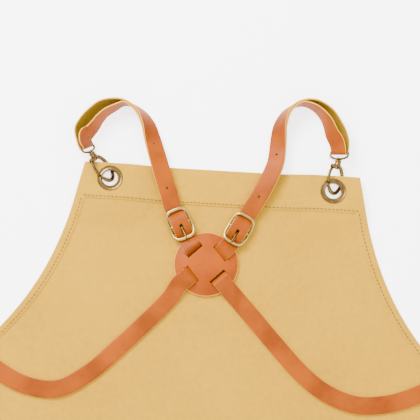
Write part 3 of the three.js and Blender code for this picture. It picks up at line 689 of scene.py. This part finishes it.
for name, (aim, eye_turn, _) in HOOKS.items():
    claw_frame, eye_frame = hook_frame(name, CLAW_TILT), hook_frame(name, eye_turn)
    arm = capped("part", placed(claw_arm, claw_frame))
    neck = grid_mesh("part", placed(spun(neck_profile), claw_frame), closed_u=True)
    recalculate(neck, 1e-5)
    cheeks = [
        grid_mesh("part", placed(peg(3.0, low, high, pin_x, pin_y), claw_frame), closed_u=True)
        for low, high in ((-2.7, -1.6), (1.6, 2.7))
    ]
    for cheek in cheeks:
        recalculate(cheek, 1e-5)
    claw = together(name + "_claw_brass", [arm, neck, *cheeks])
    finished(claw, brass, "brass", "apron", name + "_claw")
    link_path = np.linspace([pin_x, pin_y, -0.5], on_ring(np.array([118.0]))[0] + [0, 0, -0.5], 6)
    gate_shells = [
        capped("part", placed(sweep(on_ring(gate_turn), UP, gate_section), claw_frame)),
        capped("part", placed(sweep(link_path, UP, ellipse(1.4, 2.8, 14, 4)), claw_frame)),
        grid_mesh("part", placed(peg(2.2, -1.24, 0.24, pin_x, pin_y), claw_frame), closed_u=True),
    ]
    recalculate(gate_shells[2], 1e-5)
    gate = together(name + "_gate_brass", gate_shells)
    finished(gate, brass, "brass", name + "_gate_body", name + "_gate")
    loop = eye_path()
    wire_section = ellipse(EYE_WIRE, EYE_WIRE, 14)
    d_ring = grid_mesh("part", placed(sweep(loop, UP, wire_section, closed=True), eye_frame), True, True)
    shank = grid_mesh("part", placed(spun([
        (0.01, 11.2), (1.8, 11.2), (2.4, 11.7), (2.4, 12.6), (1.6, 12.7), (1.6, EYE_BASE + 0.4),
        (3.0, EYE_BASE + 0.6), (3.2, EYE_BASE + 1.6), (2.4, EYE_BASE + 2.7), (0.01, EYE_BASE + 2.8),
    ], 28), eye_frame), closed_u=True)
    recalculate(shank, 1e-5)
    eye = together(name + "_swivel_eye_brass", [d_ring, shank])
    finished(eye, brass, "brass", name + "_eye_body", name + "_swivel_eye")
    pin = grid_mesh("part", placed(peg(0.8, -2.69, 2.69, pin_x, pin_y, 20), claw_frame), closed_u=True)
    recalculate(pin, 1e-5)
    pin.name = name + "_gate_pin_steel"
    finished(pin, wire, "steel", "apron", name + "_gate_pin")
    coil_turns = np.linspace(0, 2.4 * 2 * math.pi, 70)
    coil_path = np.stack([
        pin_x + 1.5 * np.cos(coil_turns), pin_y + 1.5 * np.sin(coil_turns),
        0.72 + 0.36 * coil_turns / coil_turns[-1],
    ], -1)
    coil = capped("part", placed(sweep(coil_path, UP, ellipse(0.3, 0.3, 8)), claw_frame))
    coil.name = name + "_gate_spring_coil"
    finished(coil, wire, "steel", "apron", name + "_gate_spring")


# ---- The cross disc ----
# A domed leather disc that lies over both straps where they cross, with four slots that
# the straps rise through, and a pressed line round its rim.
STRAP_WIDTH, STRAP_THICK, GAP = 19.0, 2.0, 0.3
DISC_X, DISC_Y, DISC_RADIUS, DISC_FLAT, DISC_THICK = -11.3, -105.6, 35.0, 12.0, 2.2
DISC_CROWN, DISC_RIM = 7.0, 1.8
SLOT_RADIUS, SLOT_WIDTH = 20.3, 6.2
RISING, FALLING = 40.5, 134.5


def disc_under(r):
    """The dome's underside: flat in the middle, then falling with the square of the rest."""
    share = np.maximum(0, np.asarray(r) - DISC_FLAT) / (DISC_RADIUS - DISC_FLAT)
    return DISC_CROWN - (DISC_CROWN - DISC_RIM) * share * share


def block(name, wide, long, high, x=0.0, y=0.0, z=0.0, turn=0.0):
    """A box in millimetres, turned about z by turn degrees after it is moved."""
    corner = np.array([[i, j, k] for i in (-1, 1) for j in (-1, 1) for k in (-1, 1)]) / 2.0
    points = corner * [wide, long, high] + [x, y, z]
    faces = [(0, 1, 3, 2), (4, 6, 7, 5), (0, 4, 5, 1), (2, 3, 7, 6), (0, 2, 6, 4), (1, 5, 7, 3)]
    return mesh_from(name, points @ turned(2, turn).T * MM, np.array(faces), smooth=False)


def leather(name, grain, worn, flesh, edge):
    """Vegetable-tanned hide: a smooth grain side, a nappy flesh side and a pale cut edge."""
    finish = Finish(name, Coat_Roughness=0.3, Specular_IOR_Level=0.06)
    skin = finish.node("ShaderNodeAttribute", {"attribute_name": "skin"}, [], "Vector")
    side = finish.attribute("side")
    cloudy = finish.noise(skin, 22.0, 3.0, 0.55)
    pores = finish.noise(skin, 900.0, 3.0, 0.6)
    creases = finish.noise(skin, 260.0, 4.0, 0.6)
    top_colour = finish.mix((cloudy * 0.8 + pores * 0.2).step(0.38, 0.66), grain, worn)
    nap = finish.mix(finish.noise(skin, 420.0, 4.0, 0.7), flesh, tuple(c * 0.62 for c in flesh))
    up, down = side.step(0.42, 0.62), (side * -1.0).step(0.42, 0.62)
    colour = finish.mix(down, finish.mix(up, edge, top_colour), nap)
    finish.feed("Base Color", colour)
    finish.feed("Roughness", (up * -0.36 + 0.80) + (pores - 0.5) * 0.16)
    finish.feed("Coat Weight", up * 0.03)
    finish.bump(pores * 0.5 + creases * 0.7 + cloudy * 0.6, 0.35, 0.00018)
    return finish


def hide_attributes(piece, skin, side):
    """Keeps each vertex's place on the flat hide, and which side of it the vertex is on."""
    mesh = piece.data
    mesh.attributes.new("skin", "FLOAT_VECTOR", "POINT").data.foreach_set(
        "vector", np.ascontiguousarray(skin, dtype=np.float32).ravel())
    mesh.attributes.new("side", "FLOAT", "POINT").data.foreach_set(
        "value", np.ascontiguousarray(side, dtype=np.float32))


def vertices(piece):
    """A piece's points, as an array of rows (x, y, z) in metres."""
    flat = np.empty(len(piece.data.vertices) * 3, dtype=np.float32)
    piece.data.vertices.foreach_get("co", flat)
    return flat.reshape(-1, 3).astype(float)


def set_vertices(piece, points):
    """Moves a piece's points to new places."""
    piece.data.vertices.foreach_set("co", np.ascontiguousarray(points, dtype=np.float32).ravel())
    piece.data.update()


over_r = np.linspace(0.01, DISC_RADIUS - 0.3, 44)
press = 0.22 * np.exp(-((over_r - DISC_RADIUS + 2.6) / 0.45) ** 2)
under_r = np.linspace(DISC_RADIUS - 0.1, 0.01, 40)
disc_profile = np.concatenate([
    np.stack([over_r, disc_under(over_r) + DISC_THICK - press], -1),
    [[DISC_RADIUS, DISC_RIM + DISC_THICK - 0.4], [DISC_RADIUS, DISC_RIM + 0.4]],
    np.stack([under_r, disc_under(under_r)], -1),
])
disc = revolve("cross_disc_leather", disc_profile[::-1], 144)
recalculate(disc)
slots = [
    block("slot", SLOT_WIDTH, STRAP_WIDTH + 2 * GAP + 0.6, 30, SLOT_RADIUS, 0, 6, angle)
    for angle in (RISING, RISING + 180, FALLING, FALLING + 180)
]
cut_away(disc, slots)
recalculate(disc, 1e-6)
disc_points = vertices(disc)
disc_r = np.hypot(disc_points[:, 0], disc_points[:, 1]) / MM
depth_in = (disc_points[:, 2] / MM - disc_under(disc_r)) / DISC_THICK
disc_side = np.where(disc_r > DISC_RADIUS - 0.5, 0.0, np.where(depth_in > 0.5, 1.0, -1.0))
hide_attributes(disc, disc_points, disc_side)
set_vertices(disc, disc_points + np.array([DISC_X * MM, DISC_Y * MM + bib_edge, 0]))
disc_hide = leather(
    "disc_leather", (0.28, 0.050, 0.0003), (0.20, 0.034, 0.0003), (0.24, 0.135, 0.004), (0.60, 0.27, 0.02))
finished(disc, disc_hide, "leather", "apron", "cross_disc")


# ---- Buckles ----
# Centre-bar buckles cast in paler brass: a softened oval frame that bows up at both ends, a
# round bar across its middle, and a plain tongue that turns on the bar and lies on the frame.
BUCKLES = {"right": (22.0, -65.9, 63.0), "left": (-42.0, -63.8, 117.0)}
BAR_HEIGHT, BAR_RADIUS, BUCKLE_REACH = 6.3, 1.4, 16.2
LOWER_RISE, UPPER_RISE = 2.4, 3.0
FRAME_HALF = 10.9
buckle_brass = antique("pale_brass", (0.40, 0.28, 0.09), (0.27, 0.18, 0.055), 0.22)


def buckle_points(side, points):
    """Points in a buckle's own frame, y along the strap, carried into the apron's."""
    x, y, heading = BUCKLES[side]
    return placed(points, (np.array([x, y, 0.0]), turned(2, heading - 90)))


def frame_rise(u):
    """A parabola through the centre bar, up to a rise of its own at each end of the frame."""
    share = u / BUCKLE_REACH
    return (UPPER_RISE + LOWER_RISE) / 2 * share * share + (UPPER_RISE - LOWER_RISE) / 2 * share


around = np.linspace(0, 2 * math.pi, 96, endpoint=False)
cs, sn = np.cos(around), np.sin(around)
loop_x = (FRAME_HALF + 1.35) * np.sign(sn) * np.abs(sn) ** (2 / 3.6)
loop_y = (BUCKLE_REACH + 0.3) * np.sign(cs) * np.abs(cs) ** (2 / 3.6)
loop_path = np.stack([loop_x, loop_y, BAR_HEIGHT + frame_rise(loop_y)], -1)
loop_steps = np.linalg.norm(np.diff(loop_path, axis=0, append=loop_path[:1]), axis=1)
lengths = np.concatenate([[0], np.cumsum(loop_steps)])
even = np.linspace(0, lengths[-1], 96, endpoint=False)
loop_path = np.stack([
    np.interp(even, lengths, np.append(loop_path[:, i], loop_path[0, i])) for i in range(3)
], -1)
side_share = smooth_step(np.abs(loop_path[:, 0]), FRAME_HALF - 2, FRAME_HALF + 1)
wire_sizes = np.stack([2.5 + 0 * side_share, 3.5 - 0.85 * side_share], -1)
wire_unit = ellipse(1, 1, 16, 2.3)
frame_section = wire_unit[None] * wire_sizes[:, None, :]
for side in BUCKLES:
    frame_tube = sweep(loop_path, UP, frame_section, closed=True)
    outline = grid_mesh("part", buckle_points(side, frame_tube), True, True)
    bar_path = np.linspace([-FRAME_HALF - 0.8, 0, BAR_HEIGHT], [FRAME_HALF + 0.8, 0, BAR_HEIGHT], 12)
    middle = sweep(bar_path, UP, ellipse(2 * BAR_RADIUS - 0.1, 2 * BAR_RADIUS - 0.1, 18))
    middle_bar = capped("part", buckle_points(side, middle))
    buckle = together(side + "_buckle_brass", [outline, middle_bar])
    finished(buckle, buckle_brass, "brass", "apron", side + "_buckle_frame")
    turn_on_bar = np.linspace(0, 2 * math.pi, 28, endpoint=False)
    knuckle_profile = np.array([
        (BAR_RADIUS + 0.1, -1.15), (BAR_RADIUS + 0.85, -1.15), (BAR_RADIUS + 1.0, -0.9),
        (BAR_RADIUS + 1.0, 0.9), (BAR_RADIUS + 0.85, 1.15), (BAR_RADIUS + 0.1, 1.15),
    ])
    knuckle = np.stack([
        knuckle_profile[None, :, 1] + 0 * turn_on_bar[:, None],
        knuckle_profile[None, :, 0] * np.cos(turn_on_bar)[:, None],
        BAR_HEIGHT + knuckle_profile[None, :, 0] * np.sin(turn_on_bar)[:, None],
    ], -1)
    knuckle_ring = grid_mesh("part", buckle_points(side, knuckle), True, True)
    along_tongue = np.linspace(0, 1, 24)
    tongue_path = np.stack([
        0 * along_tongue,
        -1.6 - (BUCKLE_REACH + 0.9) * along_tongue,
        BAR_HEIGHT + 1.6 + (LOWER_RISE + 1.9) * along_tongue ** 0.9,
    ], -1)
    thin = 1 - 0.25 * along_tongue - 0.35 * smooth_step(along_tongue, 0.93, 1.0)
    tongue_tube = sweep(tongue_path, UP, tapered(ellipse(2.1, 2.1, 14), thin))
    tongue_bar = capped("part", buckle_points(side, tongue_tube))
    tongue = together(side + "_tongue_brass", [knuckle_ring, tongue_bar])
    finished(tongue, brass, "brass", side + "_buckle_tongue_body", side + "_buckle_tongue")


# ---- Rivets ----
# Tubular brass rivets with low domed heads, one through each folded strap end.
def rivet(name, node, body, to_place):
    """A rivet's profile about z, its heads 1.8 mm either side of the layers' middle."""
    half = (STRAP_THICK + GAP) / 2 + STRAP_THICK / 2 + GAP
    slope = np.radians(np.linspace(20, 85, 6))
    rise = [(2.3, half), *[(2.3 * math.cos(a), half + 0.75 * math.sin(a)) for a in slope]]
    profile = [(0.01, half + 0.78), *rise[::-1], (1.3, half), (1.3, -half)]
    profile += [(r, -z) for r, z in rise] + [(0.01, -half - 0.78)]
    turn = np.linspace(0, 2 * math.pi, 32, endpoint=False)[:, None]
    radius, height = np.array(profile).T
    points = np.stack([radius * np.cos(turn), radius * np.sin(turn), height + 0 * turn], -1)
    made = grid_mesh(name, to_place(points), closed_u=True)
    recalculate(made, 1e-5)
    finished(made, brass, "brass", body, node)


for side in BUCKLES:
    rivet(
        side + "_return_rivet_brass", side + "_return_rivet", "apron",
        lambda points: buckle_points(side, points + np.array([0, 7.2, 3.6 + 1.15])))
for hook in ("waist_right", "waist_left"):
    rivet(
        hook + "_rivet_brass", hook + "_rivet", hook + "_eye_body",
        lambda points: placed(points + np.array([0, EYE_BAR + 13, 0]), hook_frame(hook, HOOKS[hook][1])))


# ---- Shoulder straps ----
# Two long straps of one hide, grain side out. Each is folded and riveted round a waist hook's
# eye, runs under the disc and through its buckle, arches over to a bib hook's eye, and comes
# back beneath itself to its buckle's centre bar, where it is folded and riveted.
LAYER = STRAP_THICK + GAP
FOLD_RADIUS, BAR_FOLD, RETURN_HEIGHT = 2.55, 2.7, 3.6
LYING = CLOTH + 2 * GAP + STRAP_THICK / 2
TAIL, RIVET_AT, HOLE_PITCH = 26.0, 13.0, 52.0
EDGE_MARGIN, THREAD_STAND = 25, 1.15


def across_lying(points, twist):
    """Each point's direction across the strap, level and square to the run, then turned up by twist."""
    before = np.vstack([points[:1], points[:-1]])
    after = np.vstack([points[1:], points[-1:]])
    heading = np.arctan2(after[:, 1] - before[:, 1], after[:, 0] - before[:, 0])
    flat = np.cos(np.radians(twist))
    return np.stack([np.sin(heading) * flat, -np.cos(heading) * flat, np.sin(np.radians(twist))], -1)


def resting(places, layered):
    """Places (x, y, twist, extra) set down on whatever is under them, as (points, across)."""
    table = np.array([[*row, 0, 0][:4] for row in places], float)
    x, y, twist, extra = table.T
    inside = half_width(np.maximum(0, -y)) - np.abs(x)
    on_cloth = (y < EDGE_MARGIN) & (inside > -EDGE_MARGIN)
    on_hem = (-y < TOP_HEM + EDGE_MARGIN) | (inside < SIDE_HEM + EDGE_MARGIN)
    cloth_top = np.where(on_hem, HEM + THREAD_STAND + 2 * GAP, CLOTH)
    ground = np.where(on_cloth, cloth_lift(x, y) + cloth_top, 0)
    flat, tilt = np.cos(np.radians(twist)), np.abs(np.sin(np.radians(twist)))
    below = LAYER * np.maximum(0, flat) if layered else 0
    z = ground + 2 * GAP + STRAP_THICK / 2 * np.abs(flat) + STRAP_WIDTH / 2 * tilt + below + extra
    points = np.stack([x, y, z], -1)
    return points, across_lying(points, twist)


def under_disc(angle, level):
    """The run under the disc, from outside its rim, over it, down a slot, across and up again."""
    def over(r):
        """The strap's middle height where it lies on top of the disc."""
        return float(disc_under(r)) + DISC_THICK + GAP + STRAP_THICK / 2 + 0.3
    climb = [
        (DISC_FLAT, level), (16, level), (17.6, level + 0.3), (SLOT_RADIUS, (level + over(22)) / 2),
        (23.6, over(22) + 0.1),
    ]
    descent = [(29, over(28)), (DISC_RADIUS + 1, over(DISC_RADIUS - 0.6))]
    run = np.array([(-r, z) for r, z in (climb + descent)[::-1]] + climb)
    c, s = math.cos(math.radians(angle)), math.sin(math.radians(angle))
    return np.stack([DISC_X + run[:, 0] * c, DISC_Y + run[:, 0] * s, run[:, 1]], -1)


def at_eye(name, places):
    """Places (distance out from the shank, height) on a hook's eye, as (points, across)."""
    places = np.array(places, float)
    origin, matrix = hook_frame(name, HOOKS[name][1])
    points = np.stack([0 * places[:, 0], places[:, 0], places[:, 1]], -1) @ matrix.T + origin
    return points, np.broadcast_to(matrix[:, 0], points.shape)


def at_buckle(side, places):
    """Places (distance along the strap, height) at a buckle, as (points, across)."""
    x, y, heading = BUCKLES[side]
    c, s = math.cos(math.radians(heading)), math.sin(math.radians(heading))
    places = np.array(places, float)
    points = np.stack([x + places[:, 0] * c, y + places[:, 0] * s, places[:, 1]], -1)
    return points, np.broadcast_to(np.array([s, -c, 0.0]), points.shape)


def spline(knots, samples, centripetal):
    """A Catmull-Rom curve through the knots; a sample of 2.5 is halfway from knot 2 to knot 3."""
    ends = np.vstack([2 * knots[0] - knots[1], knots, 2 * knots[-1] - knots[-2]])
    inside = np.clip(samples, 0, len(knots) - 1 - 1e-9)
    first = inside.astype(int)
    w = (inside - first)[:, None]
    p0, p1, p2, p3 = (ends[first + k] for k in range(4))
    t1, t2 = (p2 - p0) / 2, (p3 - p1) / 2
    if centripetal:
        d0, d1, d2 = (
            np.maximum(((b - a) ** 2).sum(1, keepdims=True) ** 0.25, 1e-4)
            for a, b in ((p0, p1), (p1, p2), (p2, p3))
        )
        t1 = ((p1 - p0) / d0 - (p2 - p0) / (d0 + d1) + (p2 - p1) / d1) * d1
        t2 = ((p2 - p1) / d1 - (p3 - p1) / (d1 + d2) + (p3 - p2) / d2) * d1
    return (
        p1 + t1 * w + (3 * (p2 - p1) - 2 * t1 - t2) * w ** 2 + (2 * (p1 - p2) + t1 + t2) * w ** 3
    )


def flat_blank(name, start, end):
    """A strap cut flat: rounded edges, a slightly crowned grain side, a station each millimetre."""
    stations = np.linspace(start, end, int((end - start) / 1.0) + 2)
    edge, half = STRAP_WIDTH / 2, STRAP_THICK / 2
    flat_x = np.linspace(-edge + 0.35, edge - 0.35, 13)
    top = np.stack([flat_x, half - 0.10 * (flat_x / edge) ** 6], -1)
    rim = np.array([(edge - 0.06, 0.62), (edge, 0.2), (edge, -0.2), (edge - 0.06, -0.62)])
    bottom = np.stack([flat_x[::-1], 0 * flat_x - half + 0.02], -1)
    loop = np.concatenate([top, rim, bottom, (rim * [-1, 1])[::-1]])
    points = np.stack([
        np.broadcast_to(loop[:, 0], (len(stations), len(loop))),
        np.broadcast_to(stations[:, None], (len(stations), len(loop))),
        np.broadcast_to(loop[:, 1], (len(stations), len(loop))),
    ], -1)
    return capped(name, points * MM)


def round_cutter(radius, y):
    """A thin upright peg that punches a round hole at y along a flat strap."""
    made = grid_mesh("punch", placed(peg(radius, -4, 4, 0, y, 20), (np.zeros(3), np.eye(3))), True)
    set_vertices(made, vertices(made) - np.array([0, bib_edge, 0]))
    recalculate(made, 1e-6)
    return made


def bent(piece, knots, across, samples, along):
    """Carries a flat strap onto its route, and keeps its flat place as attributes."""
    flat = vertices(piece) / MM
    share = np.interp(flat[:, 1], along, samples)
    centre = spline(knots, share, True)
    ahead = spline(knots, np.minimum(share + 0.01, len(knots) - 1), True)
    behind = spline(knots, np.maximum(share - 0.01, 0), True)
    forward = ahead - behind
    forward /= np.linalg.norm(forward, axis=1, keepdims=True)
    wide = spline(across, share, False)
    wide = wide - (wide * forward).sum(1, keepdims=True) * forward
    wide /= np.linalg.norm(wide, axis=1, keepdims=True)
    normal = np.cross(wide, forward)
    points = centre + wide * flat[:, :1] + normal * flat[:, 2:]
    set_vertices(piece, (points + [0, bib_edge / MM, 0]) * MM)
    side = np.where(flat[:, 2] > 0.8, 1.0, np.where(flat[:, 2] < -0.9, -1.0, 0.0))
    hide_attributes(piece, flat * MM, side)


strap_hide = leather(
    "strap_leather", (0.26, 0.050, 0.0003), (0.16, 0.029, 0.0004), (0.24, 0.135, 0.004), (0.60, 0.27, 0.02))


def strap_route(side, waist_hook, bib_hook, disc_run, waist_run, arch, shared, back_run):
    """The eight stretches of a strap from its waist hook to its buckle, each (points, across)."""
    half_layer = LAYER / 2
    turn = np.radians(np.linspace(0, 180, 7))
    fold = [(EYE_BAR - FOLD_RADIUS * math.sin(a), -FOLD_RADIUS * math.cos(a)) for a in turn]
    tail = [(TAIL, -half_layer), (RIVET_AT, -half_layer), (6, -FOLD_RADIUS + 0.5)]
    lead = [(6, FOLD_RADIUS - 0.5), (RIVET_AT, half_layer), (TAIL, half_layer)]
    waist_end = [(EYE_BAR + d, z) for d, z in tail] + fold + [(EYE_BAR + d, z) for d, z in lead]
    low = np.vstack([resting(waist_run, False)[0], disc_run])
    twists = [row[2] if len(row) > 2 else 0 for row in waist_run] + [0] * len(disc_run)
    lower, upper = BAR_HEIGHT + LOWER_RISE - BAR_FOLD, BAR_HEIGHT + UPPER_RISE - BAR_FOLD
    crest, reach = BAR_HEIGHT + BAR_FOLD + LAYER + GAP, BUCKLE_REACH
    through = [
        (-reach - 1, lower - 0.5), (2.5 - reach, lower - 0.5), (-9.5, lower + 2.2), (-5, crest - 0.8),
        (0, crest), (6, crest - 0.2), (9.3, crest - 1.7), (reach - 2.5, upper - 0.4),
        (reach + 1, upper - 0.5), (24, upper + 0.7),
    ]
    arch_points, arch_across = resting(arch, True)
    before = np.vstack([arch_points[:1], arch_points[:-1]])[:shared]
    after = np.vstack([arch_points[1:], arch_points[-1:]])[:shared]
    after[-1] = arch_points[shared - 1]
    down = np.cross(arch_across[:shared], after - before)
    down /= np.linalg.norm(down, axis=1, keepdims=True)
    beneath = (arch_points[:shared] - LAYER * down)[::-1]
    return_end = [
        (24, RETURN_HEIGHT + 1.5), (14, RETURN_HEIGHT), (7.2, RETURN_HEIGHT), (4, RETURN_HEIGHT),
        *[(-BAR_FOLD * math.sin(a), BAR_HEIGHT - BAR_FOLD * math.cos(a)) for a in turn],
        (2.7, BAR_HEIGHT + 1.5), (4.7, RETURN_HEIGHT + LAYER + 0.3), (7.2, RETURN_HEIGHT + LAYER),
        (9.9, RETURN_HEIGHT + LAYER),
    ]
    return [
        at_eye(waist_hook, waist_end),
        (low, across_lying(low, np.array(twists, float))),
        at_buckle(side, through),
        (arch_points, arch_across),
        at_eye(bib_hook, fold),
        resting(back_run, False),
        (beneath, arch_across[:shared][::-1]),
        at_buckle(side, return_end),
    ]


def strap(side, waist_hook, bib_hook, disc_run, waist_run, arch, shared, back_run):
    """Builds one strap in two pieces that meet under the disc."""
    parts = strap_route(side, waist_hook, bib_hook, disc_run, waist_run, arch, shared, back_run)
    knots = np.vstack([points for points, _ in parts])
    across = np.vstack([wide for _, wide in parts])
    starts = np.concatenate([[0], np.cumsum([len(points) for points, _ in parts])])
    samples = np.linspace(0, len(knots) - 1, (len(knots) - 1) * 24 + 1)
    run = spline(knots, samples, True)
    along = np.concatenate([[0], np.cumsum(np.linalg.norm(np.diff(run, axis=0), axis=1))])

    def distance(index):
        """How far along the strap a knot lies, in millimetres."""
        return float(np.interp(index, samples, along))

    tongue_hole = distance(starts[2] + 2) + 2.4
    middle = distance(starts[1] + len(waist_run) + 6.5)
    bar_turn = distance(starts[7] + 7)
    waist_piece = flat_blank(side + "_strap_waist_part", 0, middle)
    shoulder_piece = flat_blank(side + "_strap_shoulder_part", middle, along[-1])
    cut_away(waist_piece, [round_cutter(1.6, distance(i)) for i in (1, starts[1] - 2)])
    cut_away(shoulder_piece, [
        block("punch", 3.4, 11.4, 8, 0, tongue_hole + 1.2),
        block("punch", 3.6, 17.5, 8, 0, bar_turn),
        *[round_cutter(1.5, tongue_hole + n * HOLE_PITCH) for n in (1, 2, 3)],
        *[round_cutter(1.6, distance(i)) for i in (len(knots) - 2, len(knots) - 13)],
    ])
    for piece in (waist_piece, shoulder_piece):
        bent(piece, knots, across, samples, along)
        finished(piece, strap_hide, "leather", None, side + "_shoulder_strap")
    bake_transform(waist_piece)
    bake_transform(shoulder_piece)


strap(
    "right", "waist_left", "bib_right", under_disc(RISING, LYING + LAYER),
    [
        (-353, -206, 35), (-343, -186, 55), (-318, -176, 60), (-290, -184, 50), (-262, -205, 25),
        (-232, -228, 5), (-195, -246), (-160, -248), (-128, -229), (-103.8, -205.7), (-83, -184),
        (-62, -161), (-47, -143),
    ],
    [
        (39.7, -32.7, 5), (47, -18, 10), (53.3, -3, 14), (57.6, 10.3, 18), (59, 25.4, 24),
        (59.3, 39.6, 34), (60, 52.1, 47), (62.5, 61, 58), (66.5, 69.3, 68), (75, 77.6, 80),
        (85.2, 81.4, 90), (96.6, 81.6, 96), (106.8, 77.2, 104), (116, 69.1, 113), (122.5, 58.3, 122),
        (127.5, 47.5, 132), (129.8, 37, 140),
    ],
    11,
    [
        (123.5, 37, 40, 4), (118, 46.8, 48, 3), (113.5, 57.7, 60, 2), (107.5, 67, 72, 1), (98, 75.5, 82),
    ],
)
strap(
    "left", "waist_right", "bib_left", under_disc(FALLING, LYING),
    [
        (353, -206, -35), (343, -186, -55), (318, -176, -60), (290, -184, -50), (262, -205, -25),
        (228, -228, -5), (190, -243), (155, -246), (122, -235), (97, -217), (74.6, -194.9), (52, -171),
        (35, -153), (24, -141.5),
    ],
    [
        (-56, -33, -3), (-64.3, -10.8, -8), (-69.5, 4, -13), (-74.3, 17.8, -20), (-79, 32, -30),
        (-84, 46, -46), (-92, 58.5, -64), (-101.8, 66.3, -76), (-111.8, 69.8, -87), (-122, 70, -94),
        (-137.5, 64.8, -106), (-147.5, 55, -114), (-155.5, 43.6, -120), (-159, 32, -125),
    ],
    9,
    [
        (-152.5, 24, -53, 3), (-149, 31, -58, 3), (-143, 39.5, -64, 2), (-138.5, 47.5, -71, 1.5),
        (-132, 55.5, -78, 1), (-123, 62, -84),
    ],
)
